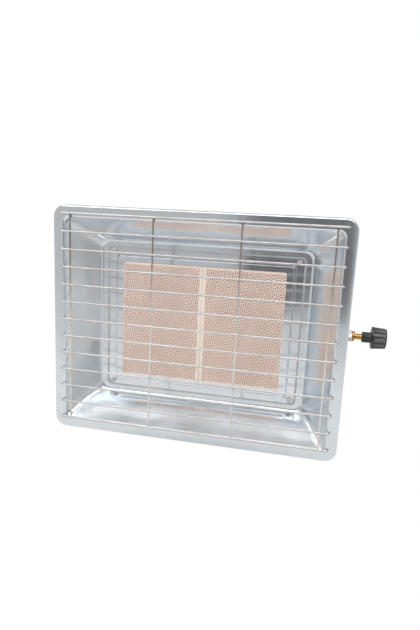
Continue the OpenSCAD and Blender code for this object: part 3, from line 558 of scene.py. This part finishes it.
# %% [markdown]
# ## The ceramic plates
# The gas burns in a skin on two perforated plates. Their face is a field of
# shallow six-sided pits, each with seven bores. One pit is made once: a hexagon is
# inset and sunk, its floor is filled again round seven small rings, and the rings
# are extruded down. Copies side by side merge into one face. The field is cut
# straight along its four sides, its cut edges are pulled up to the face, and a
# plain margin is filled in round it. A real plate has bores 1.3 mm wide; they are
# drawn a little coarser, because finer ones melt into one tone.

# %% One pit of the burner plate
CELL, PIT_DEPTH, PIT_EDGE = 7.0, 0.3, 0.12
BORE_R, BORE_RING, BORE_DEPTH = 0.9, 2.646, 3.0
BORE_TURN = 19.1
COS_30 = math.cos(math.radians(30))
ROW = CELL * COS_30


def pit_mesh():
    """A six-sided pit with seven bores, its face at Z 0 and its bores down -Z."""
    bm = bmesh.new()
    bmesh.ops.create_circle(bm, cap_ends=True, segments=6, radius=CELL / 2 / COS_30)
    if bm.faces[:][0].normal.z < 0:
        bmesh.ops.reverse_faces(bm, faces=bm.faces)
    bmesh.ops.inset_individual(bm, faces=bm.faces[:], thickness=PIT_EDGE, depth=-PIT_DEPTH)
    floor = max(bm.faces, key=lambda f: f.normal.z)
    rim = floor.edges[:]
    centres = [Vector((0, 0, -PIT_DEPTH))] + [
        Vector((math.cos(a), math.sin(a), 0)) * BORE_RING - Vector((0, 0, PIT_DEPTH))
        for a in (math.radians(30 + BORE_TURN + 60 * i) for i in range(6))
    ]
    rings = []
    for centre in centres:
        made = bmesh.ops.create_circle(
            bm, segments=6, radius=BORE_R, matrix=Matrix.Translation(centre))["verts"]
        rings.append(list({e for v in made for e in v.link_edges}))
    bmesh.ops.delete(bm, geom=[floor], context="FACES_ONLY")
    bmesh.ops.triangle_fill(
        bm, use_beauty=True, use_dissolve=False, edges=rim + [e for ring in rings for e in ring],
        normal=(0, 0, 1))
    for ring in rings:
        low, _, walls = extrude(bm, ring)
        bmesh.ops.translate(bm, verts=low, vec=(0, 0, -BORE_DEPTH))
        loop = list({e for v in low for e in v.link_edges if e.other_vert(v) in low})
        # Bore walls and floors get the darker finish, painted shade deep inside the bores.
        for face in bmesh.ops.contextual_create(bm, geom=loop)["faces"] + walls:
            face.material_index = 1
    mesh = bpy.data.meshes.new("pit")
    bm.to_mesh(mesh)
    bm.free()
    return mesh


pit = pit_mesh()
print("one pit:", len(pit.polygons), "faces")

# %% [markdown]
# ## Two plates from one pit
# Each plate is drawn flat, with its bores down, and then stood up. Its plain
# margin is wide outside and narrow beside the strip between the two.

# %% Two plates
PLATE, PLATE_T, STRIP_W = (92, 132), 13, 3
PLATE_Y = LIP_Y + FRAME_T
MARGIN_NEAR, MARGIN_FAR, MARGIN_TOP, MARGIN_LOW = 1.9, 3.6, 3.4, 1.9
PIT_MERGE, CUT_MERGE, SLIVER, ON_CUT = 0.02, 0.004, 0.002, 0.0005
TO_PANEL = Matrix.Rotation(math.radians(90), 4, "X")


def pit_field(left, right, low, high):
    """Pits over a rectangle and cut straight along it, with the cuts pulled up to Z 0."""
    bm = bmesh.new()
    reach = math.hypot(max(-left, right), max(-low, high)) + CELL
    level = Matrix.Rotation(math.radians(-BORE_TURN), 4, "Z")
    for row in range(-round(reach / ROW), round(reach / ROW) + 1):
        for column in range(-round(reach / CELL), round(reach / CELL) + 1):
            at = level @ Vector(((column + 0.5 * (row % 2)) * CELL, row * ROW, 0))
            if left - CELL < at.x < right + CELL and low - CELL < at.y < high + CELL:
                step = Matrix.Translation(at) @ level
                pit.transform(step)
                bm.from_mesh(pit)
                pit.transform(step.inverted())
    bmesh.ops.remove_doubles(bm, verts=bm.verts, dist=PIT_MERGE)
    for at, away in (((left, 0, 0), (-1, 0, 0)), ((right, 0, 0), (1, 0, 0)),
                     ((0, low, 0), (0, -1, 0)), ((0, high, 0), (0, 1, 0))):
        bmesh.ops.bisect_plane(
            bm, geom=bm.verts[:] + bm.edges[:] + bm.faces[:], dist=ON_CUT,
            plane_co=at, plane_no=away, clear_outer=True)
    tops, _, walls = extrude(bm, [e for e in bm.edges if e.is_boundary])
    for v in tops:
        v.co.z = 0
    for face in walls:
        face.material_index = 0
    bmesh.ops.remove_doubles(bm, verts=bm.verts, dist=CUT_MERGE)
    bmesh.ops.dissolve_degenerate(bm, dist=SLIVER, edges=bm.edges)
    return bm


def burner_plate(name, cad, side):
    """A perforated plate that stands for a CAD node; side is -1 or 1."""
    left, right = (MARGIN_FAR, MARGIN_NEAR) if side < 0 else (MARGIN_NEAR, MARGIN_FAR)
    half_width, half_height = PLATE[0] / 2, PLATE[1] / 2
    bm = pit_field(
        left - half_width, half_width - right, MARGIN_LOW - half_height,
        half_height - MARGIN_TOP)
    inner = [e for e in bm.edges if e.is_boundary]
    outline = bmesh.ops.create_grid(
        bm, x_segments=1, y_segments=1, size=0.5, matrix=Matrix.Diagonal((*PLATE, 1, 1)))["verts"]
    face = outline[0].link_faces[0]
    straight = face.edges[:]
    bmesh.ops.delete(bm, geom=[face], context="FACES_ONLY")
    bmesh.ops.triangle_fill(
        bm, use_beauty=True, use_dissolve=False, edges=inner + straight, normal=(0, 0, 1))
    low, edges, _ = extrude(bm, straight)
    bmesh.ops.translate(bm, verts=low, vec=(0, 0, -PLATE_T))
    bmesh.ops.contextual_create(bm, geom=[e for e in edges if all(v in low for v in e.verts)])
    bmesh.ops.transform(bm, matrix=TO_PANEL, verts=bm.verts)
    bmesh.ops.translate(bm, verts=bm.verts, vec=(side * (PLATE[0] + STRIP_W) / 2, PLATE_Y, 0))
    print(name, "open edges:", sum(e.is_boundary for e in bm.edges))
    finish_piece(bm, name, [ceramic, bore_painted_shade], [cad])


burner_plate("burner_plate_left", "ceramic_tile_left", -1)
burner_plate("burner_plate_right", "ceramic_tile_right", 1)

# %% [markdown]
# ## Copies with soft edges
# Several pieces are right as they are, but a knife-sharp edge never catches the
# light. For these a copy of the CAD mesh is merged, its flat triangles are
# dissolved into faces, and its real edges get a small bevel.

# %% Bevelled copies
FLAT_WITHIN, EDGE_FROM = math.radians(0.8), math.radians(30)


def bevel_edges(bm, edges, width):
    """Rounds edges over; width is in the bmesh's own unit."""
    bmesh.ops.bevel(
        bm, geom=edges, offset=width, offset_type="OFFSET", affect="EDGES", segments=2,
        profile=0.5, material=-1, clamp_overlap=True)


def bevelled_copy(node, name, finish, width_mm, body="heater"):
    """A copy of a CAD node with its sharp edges rounded over."""
    bm = bmesh.new()
    bm.from_mesh(nodes[node].data)
    bmesh.ops.remove_doubles(bm, verts=bm.verts, dist=MERGE_MM * MILLIMETRE)
    bmesh.ops.dissolve_limit(
        bm, angle_limit=FLAT_WITHIN, use_dissolve_boundaries=False,
        verts=bm.verts, edges=bm.edges)
    bevel_edges(bm, [
        e for e in bm.edges if len(e.link_faces) == 2 and e.calc_face_angle(0) > EDGE_FROM
    ], width_mm * MILLIMETRE)
    hand_over(bm, name, [finish], [node], body)


for cad, name, finish, slot, width in (
    ("tile_centre_strip", "fibre_strip", fibre, "ceramic_fibre", 0.4),
    ("valve_bracket", "valve_strap", box_zinc, "galvanised_sheet", 0.25),
    ("stand_brackets", "stand_ears", box_zinc, "galvanised_sheet", 0.2),
    ("valve_body", "valve_casting", brass, "brass", 0.4),
    ("frame_screws", "cross_head_screws", fastener_zinc, "zinc_plated_steel", 0.25),
    ("injector", "gas_jet", brass, "brass", 0.15),
    ("mixer_tube", "mixer_casting", cast_metal, "cast_alloy", 0.3),
):
    bevelled_copy(cad, name, finish, width)

# %% [markdown]
# ## Bent wire
# A wire bender feeds wire forward and turns it. This helper does the same with a
# ring of edges: a straight run is an extrude, a bend is a spin about a point
# beside the wire. The two ends are closed and softened.

# %% The wire bender
WIRE_END_BEVEL, DEGREES_A_STEP = 0.4, 12


def bend_wire(bm, start, heading, radius, moves, sides=14):
    """Draws a round wire; a move is ("run", length) or ("turn", axis, degrees, radius)."""
    heading = Vector(heading).normalized()
    turn = Vector((0, 0, 1)).rotation_difference(heading).to_matrix().to_4x4()
    old = set(bm.edges)
    ring = bmesh.ops.create_circle(
        bm, segments=sides, radius=radius, matrix=Matrix.Translation(start) @ turn)["verts"]
    first = [e for e in bm.edges if e not in old]
    edges, here = first, Vector(start)
    for move in moves:
        if move[0] == "run":
            ring, made, _ = extrude(bm, edges)
            bmesh.ops.translate(bm, verts=ring, vec=heading * move[1])
            here = here + heading * move[1]
        else:
            axis, degrees, bend_radius = Vector(move[1]).normalized(), move[2], move[3]
            angle = math.radians(degrees)
            centre = here + axis.cross(heading) * bend_radius
            ring, made, _ = split(bmesh.ops.spin(
                bm, geom=edges + ring, cent=centre, axis=axis, angle=angle,
                steps=max(4, round(abs(degrees) / DEGREES_A_STEP)))["geom_last"])
            spun = Matrix.Rotation(angle, 4, axis)
            heading = (spun @ heading).normalized()
            here = centre + spun @ (here - centre)
        edges = [e for e in made if all(v in ring for v in e.verts)]
    ends = [bmesh.ops.contextual_create(bm, geom=loop)["faces"][0] for loop in (first, edges)]
    bevel_edges(bm, [e for face in ends for e in face.edges], WIRE_END_BEVEL)


# %% [markdown]
# ## The guard
# Thirteen level wires are welded across four upright ones. Each level wire is
# bent back at both ends, so that its tips meet the rim's face. A resistance weld
# leaves a small squashed nugget at every crossing.

# %% Guard wires
WIRE_R, UPRIGHT_R, BAR_Y, UPRIGHT_Y = 1.08, 0.92, -3.55, -1.05
BAR_COUNT, BAR_PITCH, BAR_MIDDLE, BAR_SPAN = 13, 18.76, 2.4, 296
BAR_BEND, TIP_Y = 2.2, -0.05
UPRIGHT_PITCH, OVERHANG = 91.1, 1.4
NUGGET = Matrix.Diagonal((1.2, 0.8, 1.3, 1))
bar_heights = [BAR_MIDDLE + (i - BAR_COUNT // 2) * BAR_PITCH for i in range(BAR_COUNT)]
half = BAR_SPAN / 2 - WIRE_R
back, corner = ("run", TIP_Y - BAR_Y - BAR_BEND), ("turn", (0, 0, 1), 90, BAR_BEND)
bars = bmesh.new()
for z in bar_heights:
    bend_wire(bars, (-half, TIP_Y, z), (0, -1, 0), WIRE_R, [
        back, corner, ("run", 2 * (half - BAR_BEND)), corner, back])
finish_piece(bars, "guard_level_wires", [level_zinc], ["guard_bars"])

uprights = bmesh.new()
low, high = bar_heights[0] - OVERHANG, bar_heights[-1] + OVERHANG
for x in (UPRIGHT_PITCH * i for i in (-1.5, -0.5, 0.5, 1.5)):
    bend_wire(uprights, (x, UPRIGHT_Y, low), (0, 0, 1), UPRIGHT_R, [("run", high - low)])
    for z in bar_heights:
        spot = Matrix.Translation((x, (BAR_Y + UPRIGHT_Y) / 2, z)) @ NUGGET
        bmesh.ops.create_icosphere(uprights, subdivisions=2, radius=1, matrix=spot)
finish_piece(uprights, "guard_upright_wires", [upright_zinc], ["guard_uprights"])

# %% [markdown]
# ## The stand
# One length of wire makes the stand: two pivot pins that point inwards, two arms
# and a foot bar. It is drawn hanging straight down from its pivot and then turned
# to the angle at which it meets its stops.

# %% Stand bail
STAND_R, ARM_X, ARM_LEN, PIN_END = 2.5, 60, 168, 46
PIN_BEND, FOOT_BEND = 3.5, 10
PIVOT = Vector((0, 82.2, 50))
ARM_TURN = math.radians(40.9676)
arm = [
    ("run", ARM_X - PIN_BEND - PIN_END), ("turn", (0, -1, 0), 90, PIN_BEND),
    ("run", ARM_LEN - FOOT_BEND - PIN_BEND), ("turn", (0, -1, 0), 90, FOOT_BEND)]
foot_bar = [("run", 2 * (ARM_X - FOOT_BEND))]
bail = bmesh.new()
bend_wire(bail, (-PIN_END, 0, 0), (-1, 0, 0), STAND_R, arm + foot_bar + arm[::-1], sides=20)
bmesh.ops.transform(
    bail, matrix=Matrix.Translation(PIVOT) @ Matrix.Rotation(ARM_TURN, 4, "X"), verts=bail.verts)
finish_piece(bail, "stand_wire", [stand_zinc], ["stand_bail"], body="stand")
bevelled_copy("stand_clips", "push_on_clips", black_steel, 0.2, body="stand")

# %% [markdown]
# ## Turned parts
# A lathe part is an outline spun about its axis. Outlines are pairs of a place
# along the axis and a radius. The valve's axis runs along X, the hose thread
# hangs down from it. The outlines carry the small chamfers of turned parts.

# %% The lathe
AXIS_Y, AXIS_Z = 63, -2.5
VALVE_LINE = ((0, AXIS_Y, AXIS_Z), (1, 0, 0), (0, 0, 1))
CAP_START, CAP_END, CAP_R, CAP_CHAMFER, CAP_BORE = 164.5, 167.2, 5.6, 0.5, 3.13


def lathe(bm, outline, centre, axis, out, sides=64):
    """Spins a closed outline of (along, radius) about an axis through centre."""
    centre, axis, out = Vector(centre), Vector(axis), Vector(out)
    verts = [bm.verts.new(centre + axis * along + out * radius) for along, radius in outline]
    edges = [bm.edges.new(pair) for pair in zip(verts, verts[1:] + verts[:1])]
    bmesh.ops.spin(
        bm, geom=verts + edges, cent=centre, axis=axis, angle=2 * math.pi, steps=sides,
        use_merge=True)
    bmesh.ops.remove_doubles(bm, verts=bm.verts, dist=MERGE_MM)
    bmesh.ops.dissolve_degenerate(bm, dist=MERGE_MM / 2, edges=bm.edges)


cap = bmesh.new()
lathe(cap, [
    (CAP_START, CAP_BORE), (CAP_START, CAP_R - CAP_CHAMFER), (CAP_START + CAP_CHAMFER, CAP_R),
    (CAP_END - CAP_CHAMFER, CAP_R), (CAP_END, CAP_R - CAP_CHAMFER), (CAP_END, CAP_BORE),
], *VALVE_LINE)
finish_piece(cap, "gland_ring", [brass], ["gland_cap"])

# %% [markdown]
# ## The hose connector
# The hose screws on to a left-hand pipe thread below the valve. Its ridges are
# 1.34 mm apart, so the outline simply goes in and out once a ridge. Rings in place
# of a helix can't be told apart at this size. The hexagon above it is pulled from
# rings: the radius of every point is the smaller one of the hexagon's and of the
# cone's that cuts its corners, which leaves their curved shoulders.

# %% Inlet
INLET_X, INLET_BORE, NECK_R, CORE_R, THREAD_R, ROOT_R = 141, 2.5, 4, 7.5, 8.33, 7.55
NECK_START, HEX_START, THREAD_START, THREAD_LEN = 11.5, 18.5, 24.5, 13
PITCH, RUN_OUT = 1.337, 0.8
INLET_LINE = ((INLET_X, AXIS_Y, 0), (0, 0, -1), (1, 0, 0))
tip = THREAD_START + THREAD_LEN
outline = [(THREAD_START, CORE_R), (THREAD_START + RUN_OUT, CORE_R)]
for i in range(int((THREAD_LEN - 2 * RUN_OUT) / PITCH)):
    at = THREAD_START + RUN_OUT + i * PITCH
    outline += [
        (at + 0.25 * PITCH, THREAD_R), (at + 0.5 * PITCH, THREAD_R), (at + 0.9 * PITCH, ROOT_R)]
outline += [(tip - RUN_OUT, CORE_R), (tip, 7.2), (tip, 5.5), (tip - 4, INLET_BORE),
            (THREAD_START, INLET_BORE)]
inlet = bmesh.new()
lathe(inlet, outline, *INLET_LINE)
lathe(inlet, [
    (NECK_START, INLET_BORE), (NECK_START, NECK_R), (HEX_START, NECK_R), (HEX_START, INLET_BORE),
], *INLET_LINE)
FACE_IN = 0.1


def hexagon(across, chamfer, start, end, bore, line, sides=96):
    """Rings of a hexagon nut with chamfered corners; both faces run in to the bore."""
    centre, axis, out = (Vector(v) for v in line)
    across_r = across / 2

    def ring(along, limit):
        points = []
        for i in range(sides):
            a = 2 * math.pi * i / sides
            flat = across_r / math.cos((a + math.pi / 6) % (math.pi / 3) - math.pi / 6)
            radius = bore if limit is None else min(flat, limit)
            points.append(centre + axis * along + Matrix.Rotation(a, 3, axis) @ out * radius)
        return points

    corner, face = across_r / math.cos(math.pi / 6), across_r - FACE_IN
    return [
        ring(start, None), ring(start, face), ring(start + chamfer, corner),
        ring(end - chamfer, corner), ring(end, face), ring(end, None), ring(start, None)]


pull_rings(inlet, hexagon(19, 1.1, HEX_START, THREAD_START, INLET_BORE, INLET_LINE))
finish_piece(inlet, "hose_connector", [brass], ["inlet_connector"])

# %% [markdown]
# ## Nuts
# The same rings make the nut on the valve's neck and the four nuts behind the
# frame's screws.

# %% Nuts
panel_nut = bmesh.new()
pull_rings(panel_nut, hexagon(11, 0.7, 159.5, CAP_START, 4.03, VALVE_LINE))
finish_piece(panel_nut, "neck_nut", [fastener_zinc], ["panel_nut"])

SCREW_X, SCREW_Z, FLANGE_BACK, NUT_BACK = 102.8, 76, 41.9, 44.3
nuts = bmesh.new()
for x, z in ((sx * SCREW_X, sz * SCREW_Z) for sx in (-1, 1) for sz in (-1, 1)):
    line = ((x, 0, z), (0, 1, 0), (1, 0, 0))
    pull_rings(nuts, hexagon(5.5, 0.35, FLANGE_BACK, NUT_BACK, 1.53, line, sides=48))
finish_piece(nuts, "flange_nuts", [fastener_zinc], ["frame_nuts"])

# %% [markdown]
# ## Rivets
# A rivet's factory head is a low dome. Half of its outline is spun about the
# rivet's own axis, six times: two rivets hold the valve's strap, four the ears.

# %% Rivets
BOX_BACK, STRAP_T = 75.2, 1.5
DOME_RISE, DOME_R, SHANK_R, TAIL_R, TAIL_START, TAIL_END = 1.3, 3.3, 2, 2.8, 72.8, 74
strap_rivets = [(x, AXIS_Z) for x in (57, 81)]
ear_rivets = [(sx * 40, 50 + sz * 7) for sx in (-1, 1) for sz in (-1, 1)]
head = BOX_BACK + STRAP_T
outline = [(TAIL_START, 0), (TAIL_START, TAIL_R), (TAIL_END, TAIL_R), (TAIL_END, SHANK_R),
           (head, SHANK_R)]
outline += [(head + DOME_RISE * math.sin(a), DOME_R * math.cos(a))
            for a in (math.radians(d) for d in range(0, 90, 15))]
outline.append((head + DOME_RISE, 0))
rivets = bmesh.new()
for x, z in strap_rivets + ear_rivets:
    lathe(rivets, outline, (x, 0, z), (0, 1, 0), (1, 0, 0), sides=28)
finish_piece(rivets, "domed_rivets", [fastener_zinc], ["rivets"])

# %% [markdown]
# ## The burner box
# The box behind the tray is a deep pressing with a flange, a step on which the
# plates' gasket sits, and a flat back. It is pulled from rings like the tray, and
# the last ring is closed.

# %% Burner box
BOX_T, LEDGE = 1.2, 52.8
BACK_WIDTH, BACK_HEIGHT, BACK_CORNER, BACK_BEND = 180, 125, 7.2, 3.5
# Each section is a width, a height, a corner radius and a depth.
sections = [
    (*FRAME, FRAME_CORNER, FLANGE_BACK), (196, 141, 4.2, FLANGE_BACK),
    (193.6, 138.6, 3.2, 42.2), (192.4, 137.4, 2.7, 43.4), (192.4, 137.4, 2.7, 51.2),
    (191.6, 136.6, 2.7, 52.3), (190, 135, 2.7, LEDGE), (182, 127, BACK_CORNER, LEDGE),
    (180.6, 125.6, BACK_CORNER, 53.1), (BACK_WIDTH, BACK_HEIGHT, BACK_CORNER, 54),
]
for a in (math.radians(d) for d in range(0, 91, 15)):
    taken = 2 * BACK_BEND * (1 - math.cos(a))
    depth = BOX_BACK - BACK_BEND + BACK_BEND * math.sin(a)
    sections.append((BACK_WIDTH - taken, BACK_HEIGHT - taken, BACK_CORNER, depth))
box = bmesh.new()
last = pull_rings(box, [rounded_rectangle(*section, wide=12, tall=8) for section in sections])
bmesh.ops.contextual_create(box, geom=last)
turn_to(box, max(box.faces, key=lambda f: f.calc_area()), 1)
bmesh.ops.solidify(box, geom=box.faces[:], thickness=BOX_T)
finish_piece(box, "burner_pressing", [box_zinc], ["burner_box"], turn=False)

# %% [markdown]
# ## The knob
# A moulded knob: a plain neck, then a head with twelve grooves that stop short of
# both ends. Each ring of the head has a radius that dips where the round cutter of
# a groove passes. The outer face is dished. The faces on top of the ribs, within a
# thin skin, get a lighter finish: a painted highlight on the ribs.

# %% Knob
KNOB_X, HEAD_X, KNOB_END = 174.8, 184.6, 200.0
HEAD_R, END_R, HUB_R, KNOB_BORE, BORE_LEN = 12.2, 10.9, 5.8, 2.53, 8
GROOVES, CUTTER_R, CUTTER_AT = 12, 2.0, 12.8
KNOB_SIDES = 16 * GROOVES
RIB_SKIN, RIB_START, RIB_END = 0.15, 2.6, 1.8


def knob_ring(x, radius, cut=0.0):
    """A ring of the knob; cut is how much of the groove's depth it has."""
    points = []
    for i in range(KNOB_SIDES):
        a = 2 * math.pi * i / KNOB_SIDES
        off = (a + math.pi / GROOVES) % (2 * math.pi / GROOVES) - math.pi / GROOVES
        inside = CUTTER_R ** 2 - (CUTTER_AT * math.sin(off)) ** 2
        groove = CUTTER_AT * math.cos(off) - math.sqrt(max(0, inside)) if inside > 0 else radius
        r = radius + (min(radius, groove) - radius) * cut
        turn = a + math.pi / GROOVES
        points.append(Vector((x, AXIS_Y + r * math.sin(turn), AXIS_Z + r * math.cos(turn))))
    return points


def head_radius(x):
    """The head's radius, which tapers towards its outer end."""
    return HEAD_R + (END_R - HEAD_R) * (x - HEAD_X) / (KNOB_END - HEAD_X)


neck = [(KNOB_X + x, r, 0) for x, r in (
    (BORE_LEN, KNOB_BORE), (0, KNOB_BORE), (0, 4.9), (0.25, 5.45), (0.8, HUB_R))]
shoulder = [(HEAD_X + x, r, 0) for x, r in (
    (-1.2, HUB_R), (-0.35, HUB_R + 0.35), (0, HUB_R + 1.2), (0, 11.2), (0.3, 11.9), (1, 12.13))]
flutes = [(x, head_radius(x), cut) for x, cut in (
    (HEAD_X + RIB_START, 0), (HEAD_X + 3.0, 0.75), (HEAD_X + 3.5, 1),
    (KNOB_END - 2.5, 1), (KNOB_END - 2.0, 0.75), (KNOB_END - 1.7, 0))]
dish = [(KNOB_END - x, r, 0) for x, r in (
    (0.9, END_R + 0.02), (0.25, END_R - 0.25), (0, END_R - 0.9), (0, 7.9), (0.3, 7.5),
    (1.4, 7.2), (1.6, 6.8), (1.6, 0.4))]
knob = bmesh.new()
last = pull_rings(knob, [knob_ring(*station) for station in neck + shoulder + flutes + dish])
bmesh.ops.contextual_create(knob, geom=last)
bmesh.ops.holes_fill(knob, edges=[e for e in knob.edges if e.is_boundary], sides=0)
# Faces on top of the ribs get the lighter finish, a painted highlight.
for face in knob.faces:
    x, y, z = face.calc_center_median()
    on_rib = math.hypot(y - AXIS_Y, z - AXIS_Z) > head_radius(x) - RIB_SKIN
    if HEAD_X + RIB_START < x < KNOB_END - RIB_END and on_rib:
        face.material_index = 1
finish_piece(
    knob, "fluted_knob", [knob_plastic, rib_painted_highlight], ["control_knob"],
    body="control")

# %% [markdown]
# ## Pieces that keep their CAD shape
# The rest is hidden inside the burner or the valve, or is plain turned bar. These
# nodes stay and only get their finishes.

# %% Finishes of the carried-over nodes
for finish, names in (
    (fibre, ["tile_gasket"]),
    (box_zinc, ["tile_rail", "mixture_baffle"]),
    (brass, ["valve_bonnet", "valve_spindle", "valve_needle"]),
    (rubber, ["spindle_seal"]),
    (copper, ["inlet_washer"]),
    (black_steel, ["knob_set_screw"]),
):
    for name in names:
        for slot in nodes[name].material_slots:
            slot.material = finish
        print("finish of", name, "is", finish.name)

# %% [markdown]
# ## Floor
# The floor is a wide white sheet. To the camera it is mostly clear, so the white
# world shows through and no horizon shows; the rest is white paper, which carries
# the heater's soft shadow and fades out with the distance. That keeps the foot of
# the folded stand in view too. All but the camera see mostly a glow in its place,
# which is weaker near the heater: a painted shadow of the heater that metal mirrors.

# %% Floor
FLOOR_SIZE, GLOW_SHARE = 8, 0.85
WHITE = (1, 1, 1, 1)


def stage_sheet(name, place, material):
    """A flat sheet of the stage: a unit square, sized and placed by a matrix."""
    bm = bmesh.new()
    bmesh.ops.create_grid(bm, x_segments=1, y_segments=1, size=0.5, matrix=place)
    sheet = make_object(bm, name)
    sheet.data.materials.append(material)
    sheet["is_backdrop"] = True
    return sheet


paper = bpy.data.materials.new("white_paper")
tree = empty_tree(paper)
place = add(tree, "TexCoord").outputs["Object"]
reach = add(tree, "VectorMath", {0: place}, operation="LENGTH").outputs["Value"]
fade = add(tree, "MapRange", {
    "Value": reach, "From Min": 0.13, "From Max": 0.34, "To Min": 0.92, "To Max": 1.0})
seen = add(tree, "LightPath").outputs["Is Camera Ray"]
share = add(tree, "Mix", {
    "Factor": seen, "A": GLOW_SHARE, "B": fade.outputs[0]}, data_type="FLOAT")
# The glow is weaker near the heater: a painted shadow of the heater on the floor.
near = add(tree, "MapRange", {
    "Value": reach, "From Min": 0.07, "From Max": 0.17, "To Min": 0.4, "To Max": 0.67})
matt = add(tree, "BsdfDiffuse", {"Color": linear("F4F4F4")})
glow = add(tree, "Emission", {"Color": WHITE, "Strength": near.outputs[0]})
clear = add(tree, "BsdfTransparent")
pale = add(tree, "MixShader", {0: seen, 1: glow.outputs[0], 2: clear.outputs[0]})
both = add(tree, "MixShader", {
    0: share.outputs["Result"], 1: matt.outputs[0], 2: pale.outputs[0]})
add(tree, "OutputMaterial", {"Surface": both.outputs[0]})
stage_sheet("floor", Matrix.Scale(FLOOR_SIZE, 4), paper)
print("floor in metres:", FLOOR_SIZE, "square")

# %% [markdown]
# ## The room that metal mirrors
# To the camera the world is white. Metal mirrors a dimmer room, brighter below,
# with a soft ceiling light and a window at the left, because pale zinc in a white
# room would turn white. Everything else gets an even light.

# %% World
EVEN_LIGHT, LOW_ROOM, HIGH_ROOM, CEILING_LIGHT, WINDOW_LIGHT = 0.6, 0.72, 0.51, 0.52, 0.2
CEILING_AT, WINDOW_AT = (-0.2, 0.1, 0.975), (-0.96, -0.1, 0.25)
world = bpy.data.worlds.new("studio")
bpy.context.scene.world = world
tree = empty_tree(world)
rays = add(tree, "LightPath")
direction = add(tree, "TexCoord").outputs["Generated"]
height = add(tree, "SeparateXYZ", {0: direction}).outputs["Z"]
walls = add(tree, "MapRange", {
    "Value": height, "From Min": -0.12, "From Max": 0.14, "To Min": LOW_ROOM,
    "To Max": HIGH_ROOM}, interpolation_type="SMOOTHSTEP")
mirrored = walls.outputs[0]
for middle, edge, bright, strength in (
    (CEILING_AT, 0.92, 0.95, CEILING_LIGHT),
    (WINDOW_AT, 0.84, 0.95, WINDOW_LIGHT),
):
    near = add(tree, "VectorMath", {0: direction, 1: middle}, operation="DOT_PRODUCT")
    patch = add(tree, "MapRange", {
        "Value": near.outputs["Value"], "From Min": edge, "From Max": bright,
        "To Min": 0.0, "To Max": strength}, interpolation_type="SMOOTHSTEP")
    mirrored = add(tree, "Math", {0: mirrored, 1: patch.outputs[0]}, operation="ADD").outputs[0]
room = add(tree, "Mix", {
    "Factor": rays.outputs["Is Glossy Ray"], "A": EVEN_LIGHT, "B": mirrored},
    data_type="FLOAT")
level = add(tree, "Mix", {
    "Factor": rays.outputs["Is Camera Ray"], "A": room.outputs["Result"], "B": 1.0},
    data_type="FLOAT")
sky = add(tree, "Background", {"Color": WHITE, "Strength": level.outputs["Result"]})
add(tree, "OutputWorld", {"Surface": sky.outputs[0]})

# %% [markdown]
# ## Lamps and cards
# Three soft boxes light the heater, and no metal mirrors them. What metal mirrors
# is put where it helps, and nothing else sees it: a dark felt flag near the camera
# draws the deep grey of the rim's upper right corner, and three bright cards the
# light streaks on walls and wires.

# %% Soft boxes and cards
CARD_LIGHT, STRIP_LIGHT = 2.1, 3.4


def soft_box(name, at, target, size, power):
    """A rectangular area lamp that points at a target and that no metal mirrors."""
    data = bpy.data.lights.new(name, "AREA")
    data.shape = "RECTANGLE"
    data.size, data.size_y = size
    data.energy = power
    lamp = bpy.data.objects.new(name, data)
    lamp.visible_glossy = False
    lamp.location = at
    lamp.rotation_euler = (Vector(target) - Vector(at)).to_track_quat("-Z", "Y").to_euler()
    bpy.context.scene.collection.objects.link(lamp)
    print("lamp:", name, "watts", power)


soft_box("overhead_left", (-0.75, 0.1, 1.1), (0, 0, 0.1), (0.7, 0.5), 5)
soft_box("overhead_right", (0.75, 0.0, 1.1), (0, 0, 0.1), (0.5, 0.5), 4)
soft_box("high_front", (-0.2, -1.3, 1.2), (0, 0, 0.12), (1.2, 0.5), 26)


def card(name, place, surface, sockets):
    """A flat card of one shader that only metal sees."""
    material = bpy.data.materials.new(name)
    tree = empty_tree(material)
    face = add(tree, surface, sockets)
    add(tree, "OutputMaterial", {"Surface": face.outputs[0]})
    sheet = stage_sheet(name, place, material)
    sheet.visible_camera = sheet.visible_diffuse = sheet.visible_shadow = False
    print("card:", name)


card("dark_felt_flag", (
    PANEL @ Matrix.Translation((110, -520, 98)) @ Matrix.Rotation(math.radians(90), 4, "X")
    @ Matrix.Diagonal((280, 343, 1, 1))), "BsdfDiffuse", {"Color": linear("707070")})
for name, at, width, depth, strength in (
    ("bright_card_left", (-0.33, -0.07, 0.62), 0.3, 0.34, CARD_LIGHT),
    ("bright_card_right", (0.09, -0.07, 0.62), 0.34, 0.34, CARD_LIGHT),
    ("front_strip", (-0.1, -0.62, 0.95), 1.4, 0.36, STRIP_LIGHT),
):
    card(name, Matrix.Translation(at) @ Matrix.Diagonal((width, depth, 1, 1)),
         "Emission", {"Color": WHITE, "Strength": strength})

# %% [markdown]
# ## Colour
# The Standard transform shows a colour as it was mixed.

bpy.context.scene.view_settings.view_transform = "Standard"
low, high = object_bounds()
print("visual box in mm:", [round(x * 1000, 1) for x in high - low])
